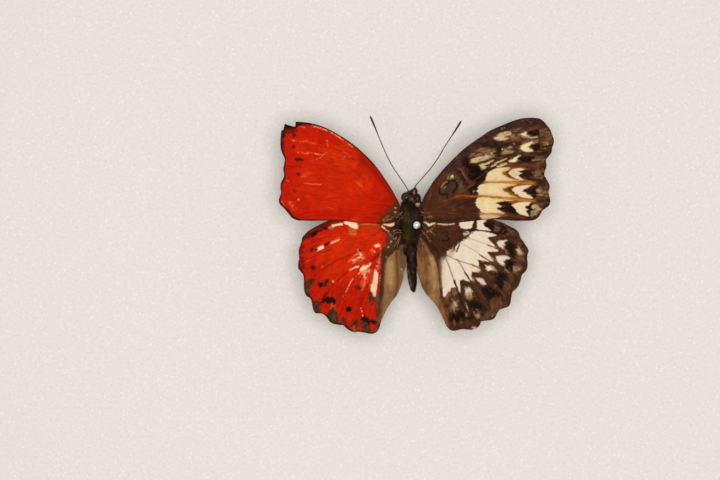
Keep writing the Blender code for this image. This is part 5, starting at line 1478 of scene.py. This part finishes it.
def driedAbdomen(points):
    # shrunken a little unevenly
    x, y, z = points.T
    where = np.column_stack([y, 2.0 * np.sign(x)])
    dent = bodyForm["dents"] * speckle(where, 1.1, 41) * smooth(0.0, 0.6, np.abs(x))
    return np.column_stack([x + dent, y, z])


def makeBody():
    skins = {"thorax": lofted("thorax_skin", bodyForm["thorax"], 56, 0.2, thoraxLobes),
             "head": lofted("head_skin", bodyForm["head"], 44, 0.15),
             "abdomen": lofted("abdomen_skin", abdomenRings(), 40, 0.12, driedAbdomen)}
    for node, skin in skins.items():
        seed, comb, coats = bodyForm["skins"][node]
        paintBody(skin.data, seed)
        for coat in coats:
            hairs = furPiece(node + "_" + coat + "_hair", skin, hairFinish, furForm[coat], comb)
            handOver(hairs, "body_fur")
        handOver(skin, "body_fur", node)
    for word, (centre, radii) in bodyForm["tufts"].items():
        tuft = ellipsoid(word, centre, radii, skinFinish, 24, 16)
        paintBody(tuft.data, 34)
        hairs = furPiece(word + "_hair", tuft, hairFinish, furForm["tufts"], (centre[0] * 0.4, -1.0, 0))
        handOver(hairs, "body_fur")
        handOver(tuft, "body_fur")


makeBody()
print("body")


def makeEyeFinish(word, dark, cloudy):
    finish = Finish("compound eye " + word, roughness=0.35, Specular_IOR_Level=0.12,
                    Coat_Roughness=0.1, Coat_Weight=0.06)
    place = finish.place()
    facets = finish.cells(place, 17000)
    cloud = finish.noise(place, 900, 2, 0.5).step(0.42, 0.62)
    finish.colour(finish.mix(fromScreen(*dark), fromScreen(*cloudy), cloud))
    finish.rough(0.2 + facets * 0.12)
    finish.bump(1.0 - facets, 0.00001, 0.7)
    return finish


def makeHornFinish():
    finish = Finish("dark horn", roughness=0.4)
    place = finish.place()
    grain = finish.noise(place, 2600, 3, 0.6)
    finish.colour(finish.mix(fromScreen(30, 20, 15), fromScreen(66, 44, 32), grain.step(0.5, 0.8)))
    finish.rough(0.35 + grain * 0.25)
    finish.bump(grain, 0.00002, 0.5)
    return finish


hornFinish = makeHornFinish()

headForm = {
    # centre and radii, and the dark and the cloudy colour
    "eyes": {"left": ((-1.02, 6.7, 26.95), (1.28, 1.28, 1.12), (16, 11, 8), (54, 44, 36)),
             "right": ((1.5, 6.4, 26.7), (0.92, 1.25, 1.0), (40, 20, 12), (58, 30, 19))},
    "antennas": {
        "left": [(-0.35, 7.6, 27.3), (-1.15, 9.2, 28.1), (-2.4, 11.0, 28.6), (-4.7, 14.5, 29.1),
                 (-6.2, 17.6, 29.5), (-7.4, 20.4, 29.8), (-8.4, 22.9, 29.9), (-9.5, 25.5, 29.9)],
        "right": [(0.3, 7.6, 27.3), (0.95, 9.2, 28.1), (2.2, 10.7, 28.6), (4.4, 13.2, 29.1),
                  (6.2, 15.7, 29.5), (7.6, 18.1, 29.8), (9.0, 20.3, 29.9), (10.4, 22.4, 29.9),
                  (11.6, 24.4, 29.8)],
    },
    "antennaRadius": 0.125,
    "clubRadius": 0.26,
    "clubShare": 0.26,
    "antennaRings": 62,
    "ringOverlap": 0.3,
    "palps": {
        "left": [(0.2, 7.3, 25.5), (0.4, 7.8, 25.9), (0.6, 8.3, 26.4), (0.78, 8.8, 27.1)],
        "right": [(1.15, 7.3, 25.5), (1.15, 7.9, 25.8), (1.05, 8.5, 26.4), (0.88, 9.1, 27.2)],
    },
    "palpRadii": [0.3, 0.46, 0.34, 0.05],
    "tongueCentre": (0.05, 7.45, 24.3),
    "tongueCoil": (0.78, 0.2, 2.1),  # outer and inner radius, and the number of turns
    "tongueStart": math.radians(100),
    "tongueRadius": 0.11,
}


def girthsAlong(radii, count):
    return np.interp(np.linspace(0, len(radii) - 1, count), np.arange(len(radii)), radii) * mm


def makeEye(word):
    centre, radii, dark, cloudy = headForm["eyes"][word]
    lens = ellipsoid("eye_" + word + "_lens", centre, radii, makeEyeFinish(word, dark, cloudy), 56, 36)
    handOver(lens, "eye", "eye_" + word)


def makeAntenna(word):
    # a core inside a row of rings, with a club at its end, a pointed tip and a thicker root
    line = throughPoints(headForm["antennas"][word], 0.12)
    share = np.linspace(0, 1, len(line))
    start = 1 - headForm["clubShare"]
    club = smooth(start, start + 0.75 * headForm["clubShare"], share)
    radius = headForm["antennaRadius"] + (headForm["clubRadius"] - headForm["antennaRadius"]) * club
    radius = radius * (1 - 0.75 * smooth(0.975, 1.0, share)) * (1 + 0.9 * (1 - smooth(0.0, 0.03, share)))
    core = tubePiece("antenna_" + word + "_core", line * mm, 0.86 * radius * mm, hornFinish, 12)
    guide = linePiece("antenna_line", line * mm, radius * mm)
    values = {"Rings": headForm["antennaRings"], "Overlap": headForm["ringOverlap"] * mm, "Flare": 1.0,
              "Finish": hornFinish.material}
    rings = grown("antenna_" + word + "_rings", guide, ringGrower, values)
    bpy.data.objects.remove(guide)
    handOver(core, "horn", "antenna_" + word)
    handOver(rings, "horn")


def makePalp(word):
    line = throughPoints(headForm["palps"][word], 0.1)
    girths = girthsAlong(headForm["palpRadii"], len(line))
    palp = tubePiece("palp_" + word + "_skin", line * mm, girths, skinFinish, 16)
    paintBody(palp.data, 35)
    hairs = furPiece("palp_" + word + "_hair", palp, hairFinish, furForm["palps"], (0, 0.7, 1.3))
    handOver(hairs, "body_fur")
    handOver(palp, "body_fur", "palp_" + word)


def makeTongue():
    outer, inner, turns = headForm["tongueCoil"]
    share = np.linspace(0, 1, 150)
    turn = headForm["tongueStart"] + twoPi * turns * share
    radius = outer + (inner - outer) * share
    x, y, z = headForm["tongueCentre"]
    coil = np.column_stack([np.full(len(share), x), y + radius * np.cos(turn), z + radius * np.sin(turn)])
    girth = headForm["tongueRadius"] * (1 - 0.4 * share) * (1 + 0.05 * np.sin(share * 260))  # finely ringed
    handOver(tubePiece("tongue_coil", coil * mm, girth * mm, hornFinish, 12), "horn", "tongue")


for headSide in ("left", "right"):
    makeEye(headSide)
    makeAntenna(headSide)
    makePalp(headSide)
makeTongue()
print("head parts")

legForm = {
    "lines": {
        "foreleg": [(0.85, 3.5, 24.5), (1.15, 4.4, 23.6), (0.95, 5.6, 23.8), (0.55, 6.6, 24.1)],
        "midleg": [(1.35, 0.9, 24.4), (3.0, 2.7, 23.0), (2.2, -0.6, 22.1), (1.3, -3.0, 21.7)],
        "hindleg": [(1.25, -1.9, 24.4), (3.3, -0.9, 23.4), (2.6, -4.6, 22.7), (1.5, -7.4, 22.3)],
    },
    "radii": {
        "foreleg": [0.16, 0.17, 0.15, 0.09],
        "midleg": [0.27, 0.2, 0.15, 0.08],
        "hindleg": [0.27, 0.2, 0.15, 0.08],
    },
    "claw": 0.3,
    "clawRadii": [0.035, 0.03, 0.006],
}


def clawPiece(end, ahead, out):
    aside = np.array([out * 0.5, 0, 0])
    steps = [end - 0.05 * ahead, end + legForm["claw"] * (0.4 * ahead + 0.4 * aside),
             end + legForm["claw"] * (0.9 * ahead + 0.5 * aside + np.array([0, 0, -0.35]))]
    claw = throughPoints(steps, 0.04)
    return tubePiece("claw", claw * mm, girthsAlong(legForm["clawRadii"], len(claw)), hornFinish, 6)


def makeLeg(leg, side, word):
    # the foot, in the last third, is ringed, and ends in two claws
    line = throughPoints([(side * x, y, z) for x, y, z in legForm["lines"][leg]], 0.1)
    share = np.linspace(0, 1, len(line))
    foot = smooth(0.66, 0.7, share)
    girth = girthsAlong(legForm["radii"][leg], len(line)) * (1 - 0.14 * foot * (1 + np.cos(share * 110)))
    girth = girth * (1 - 0.5 * smooth(0.97, 1.0, share))
    ahead = line[-1] - line[-4]
    ahead = ahead / np.linalg.norm(ahead)
    parts = [tubePiece("limb", line * mm, girth, hornFinish, 12)]
    parts += [clawPiece(line[-1], ahead, out) for out in (-1, 1)]
    limb = joined(leg + "_" + word + "_limb", parts)
    spines = furPiece(leg + "_" + word + "_spines", limb, hornFinish, furForm["spines"], tuple(0.6 * ahead))
    handOver(spines, "horn")
    handOver(limb, "horn", leg + "_" + word)


for legName in legForm["lines"]:
    makeLeg(legName, -1, "left")
    makeLeg(legName, 1, "right")
print("legs")

strandForm = {
    "radius": 0.035,
    "taper": [1.0, 1.0, 0.8, 0.15],
    # pale hairs at the wing roots, on the markings' grid, with a height in millimetres
    "lines": [
        "402,233,28.4 398,232.4,28.3 394.5,233.4,28 391.5,236.5,27.7",
        "400.5,235,28.3 398,240,28 395.5,245,27.8 393,250,27.5",
        "400.5,237,28.2 398.6,242,27.9 397,248,27.6",
        "401,231,28.4 397.5,229.5,28.3 394,230.5,28",
        "402.5,212,28.7 399.6,214.5,28.6 397,218.5,28.4",
        "403,217,28.6 400,219,28.5 397.5,222.5,28.3",
        "419.5,235,28.4 421.5,239,28.1 423.4,242.5,27.8 424.3,246,27.5",
        "419,238,28.2 421.2,241.6,27.9 422.6,245.6,27.6 422.8,249,27.2",
        "421,230.5,28.3 424.5,232.6,28 427.5,237.4,27.8 429.6,243,27.7",
        "421.5,234,28.2 419.6,238,28.1 419,242,27.9",
        "422,225,28.5 425.5,228.5,28.1 429,231,27.9",
        "421,212,28.8 426,213,28.6 431,212.6,28.5",
    ],
}


def makeStrands():
    finish = Finish("pale hair", roughness=0.45)
    tone = finish.noise(finish.place(), 700, 2, 0.5)
    finish.colour(finish.mix(fromScreen(104, 82, 64), fromScreen(196, 170, 142), tone.step(0.35, 0.65)))
    originX, originY, square = wingForm["drawnOn"]
    strands = []
    for path in strandForm["lines"]:
        points = [((x - originX) * square, (originY - y) * square, z) for x, y, z in drawn(path)]
        points = throughPoints(points, 0.12)
        radius = girthsAlong(strandForm["taper"], len(points)) * strandForm["radius"]
        strands.append(tubePiece("strand", points * mm, radius, finish, 5))
    handOver(joined("root_hairs", strands), "body_fur")


makeStrands()

pinForm = {
    "radius": 0.25,
    "length": 38.0,
    "tipZ": 2.0,
    # radius, as a share of the wire's, and height above the tip
    "tip": ((0.1, 0.04), (0.45, 0.6), (0.8, 1.3), (1.0, 2.0), (1.0, 20.0)),
    "point": 0.02,
    "passes": (0.55, 0.1, 27.5),  # where it goes through the thorax
    "lean": math.radians(2.6),
    "headRadius": 0.84,
    "headRings": 32,
}


def pinPlace():
    along = Vector((math.sin(pinForm["lean"]), 0, math.cos(pinForm["lean"])))
    passes = Vector(pinForm["passes"])
    tip = passes - along * ((passes.z - pinForm["tipZ"]) / along.z)
    return Matrix.Scale(mm, 4) @ Matrix.Translation(tip) @ Matrix.Rotation(pinForm["lean"], 4, "Y")


def turnedPin(name, profile, sides, finish):
    turns = [twoPi * k / sides for k in range(sides)]
    points = [pinPlace() @ Vector((radius * math.cos(turn), radius * math.sin(turn), z))
              for radius, z in profile for turn in turns]
    return meshPiece(name, points, loopFaces(len(profile), sides), finish)


def makeSteelFinish():
    finish = Finish("polished steel", roughness=0.24, Metallic=1.0)
    place = finish.place()
    stretched = finish.add("Mapping", {}, {"Vector": place, "Scale": (1.0, 1.0, 0.08)})
    scratches = finish.noise(stretched, 9000, 3, 0.6)
    cloud = finish.noise(place, 900, 2).step(0.4, 0.7)
    finish.colour(finish.mix(fromScreen(176, 174, 172), fromScreen(128, 124, 120), cloud))
    finish.rough(0.16 + scratches * 0.2)
    finish.bump(scratches, 0.000004, 0.4)
    return finish


def makeNickelFinish():
    # painted shade: near white, turning grey towards its right and rear
    finish = Finish("dull nickel", roughness=0.34, Metallic=0.5)
    place = finish.place()
    aside = finish.add("VectorMath", {"operation": "DOT_PRODUCT"}, {0: place, 1: (900.0, -900.0, 0.0)}, 1)
    paintedShade = (aside + finish.noise(place, 1500, 2) * 0.5).step(1.35, 2.05)
    finish.colour(finish.mix(fromScreen(252, 250, 244), fromScreen(128, 118, 108), paintedShade))
    return finish


def makePin():
    radius, length, headRadius = pinForm["radius"], pinForm["length"], pinForm["headRadius"]
    shaft = [(pinForm["point"], 0.0), *[(share * radius, z) for share, z in pinForm["tip"]],
             (radius, length - 1.5 * headRadius)]
    handOver(turnedPin("pin_wire", shaft, 24, makeSteelFinish()), "pin_steel", "pin_shaft")
    ball, rings = [], pinForm["headRings"]
    for k in range(rings + 1):
        turn = -0.5 * math.pi + math.pi * k / rings
        height = length - headRadius + headRadius * math.sin(turn)
        ball.append((max(0.004, headRadius * math.cos(turn)), height))
    handOver(turnedPin("pin_ball", ball, 40, makeNickelFinish()), "pin_steel", "pin_head")


makePin()
print("pin")

foamForm = {
    "low": (-18.0, -9.1, 0.0),
    "high": (18.0, 4.2, 12.0),
    "grid": 0.3,
    "edge": 0.5,
    "pits": 0.09,
    "colour": (0.80, 0.765, 0.725),
}


def foamNet():
    # a block's six sides as squares that share their corners
    low, high = np.array(foamForm["low"]), np.array(foamForm["high"])
    counts = np.round((high - low) / foamForm["grid"]).astype(int)
    numbers, points, faces = {}, [], []

    def corner(index):
        if index not in numbers:
            numbers[index] = len(points)
            points.append(low + (high - low) * np.array(index) / counts)
        return numbers[index]

    for axis in range(3):
        u, v = (axis + 1) % 3, (axis + 2) % 3
        for end in (0, counts[axis]):
            for i in range(counts[u]):
                for j in range(counts[v]):
                    square = []
                    for di, dj in ((0, 0), (1, 0), (1, 1), (0, 1)):
                        index = [0, 0, 0]
                        index[axis], index[u], index[v] = int(end), i + di, j + dj
                        square.append(corner(tuple(index)))
                    faces.append(square if end else square[::-1])
    return np.array(points), faces


def makeFoamFinish():
    finish = Finish("white foam", roughness=0.85, Specular_IOR_Level=0.3)
    place = finish.place()
    cells = finish.cells(place, 3200)
    beads = finish.cells(place, 1100, feature="DISTANCE_TO_EDGE")
    cloud = finish.noise(place, 260, 3, 0.6)
    white = foamForm["colour"]
    tone = finish.mix(white, tuple(0.88 * c for c in white), (cloud * 0.6 + cells * 0.5).clamp())
    # darker along the seams between beads: painted shade in the grooves the bump makes there
    finish.colour(finish.mix(tuple(0.8 * c for c in white), tone, beads.step(0.0, 0.05)))
    finish.rough(0.75 + cells * 0.2)
    finish.bump(beads.step(0.0, 0.12) + cells * 0.5, 0.00008, 0.6)
    return finish


def makeFoam():
    points, faces = foamNet()
    edge = foamForm["edge"]
    inner = np.clip(points, np.array(foamForm["low"]) + edge, np.array(foamForm["high"]) - edge)
    outward = points - inner
    outward = outward / np.linalg.norm(outward, axis=1)[:, None]
    points = inner + outward * edge
    pattern = np.column_stack([points[:, 0] + 0.7 * points[:, 2], points[:, 1] + 0.6 * points[:, 2]])
    pits = smooth(0.1, 0.8, speckle(pattern, 0.55, 41))
    pits = pits + 0.5 * smooth(0.2, 0.9, speckle(pattern[:, ::-1], 0.8, 42))
    points = points - outward * (foamForm["pits"] * pits)[:, None]
    handOver(meshPiece("foam_cells", points * mm, faces, makeFoamFinish()), "foam", "foam_block")


makeFoam()
print("foam block")

setting = {
    "camera": (-0.0119, -0.00327, 0.5275),
    "lens": 107.0,
    "sensor": 36.0,
    "nearest": 0.01,  # nothing closer to the camera is seen
    "floor": (0.815, 0.783, 0.749),
    # the colour of the floor's painted glints, bright specks that stand in for sparkle
    "speck": (0.95, 0.93, 0.90),
    "floorReach": 3.0,
    "world": (1.0, 0.985, 0.965, 1.0),
    "worldStrength": 0.30,
    "lamp": (1.0, 0.975, 0.94),
    "lampPower": 2.85,
    "lampSize": 0.2,
    "lampPlace": (-0.006, -0.006, 0.62),
    "lampAim": (-0.005, 0.0, 0.02),
}


def makeFloor():
    finish = Finish("floor", roughness=0.9, Specular_IOR_Level=0.2)
    grain = finish.noise(finish.place(), 1400, 3, 0.6)
    tone = finish.mix(setting["floor"], tuple(0.92 * c for c in setting["floor"]), grain.step(0.45, 0.75))
    # painted highlight: bright specks that stand in for the foam's sparkle
    paintedGlints = 1.0 - finish.cells(finish.place(), 850).step(0.1, 0.3)
    finish.colour(finish.mix(tone, setting["speck"], paintedGlints * 0.5))
    reach = setting["floorReach"]
    corners = [(-reach, -reach, 0), (reach, -reach, 0), (reach, reach, 0), (-reach, reach, 0)]
    meshPiece("floor", corners, [(0, 1, 2, 3)], finish)


def makeLight():
    world = bpy.data.worlds.new("studio")
    world.use_nodes = True
    background = world.node_tree.nodes["Background"]
    background.inputs["Color"].default_value = setting["world"]
    background.inputs["Strength"].default_value = setting["worldStrength"]
    bpy.context.scene.world = world
    lamp = bpy.data.lights.new("soft box", "AREA")
    lamp.shape = "DISK"
    lamp.size = setting["lampSize"]
    lamp.energy = setting["lampPower"]
    lamp.color = setting["lamp"]
    softBox = bpy.data.objects.new("soft box", lamp)
    softBox.location = setting["lampPlace"]
    aim = Vector(setting["lampAim"]) - Vector(setting["lampPlace"])
    softBox.rotation_euler = aim.to_track_quat("-Z", "Y").to_euler()
    bpy.context.scene.collection.objects.link(softBox)


def makeCamera():
    camera = bpy.data.objects.new("camera", bpy.data.cameras.new("camera"))
    camera.data.lens = setting["lens"]
    camera.data.sensor_width = setting["sensor"]
    camera.data.clip_start = setting["nearest"]
    camera.location = setting["camera"]
    bpy.context.scene.collection.objects.link(camera)
    bpy.context.scene.camera = camera
    bpy.context.scene.view_settings.view_transform = "Standard"


makeFloor()
makeLight()
makeCamera()
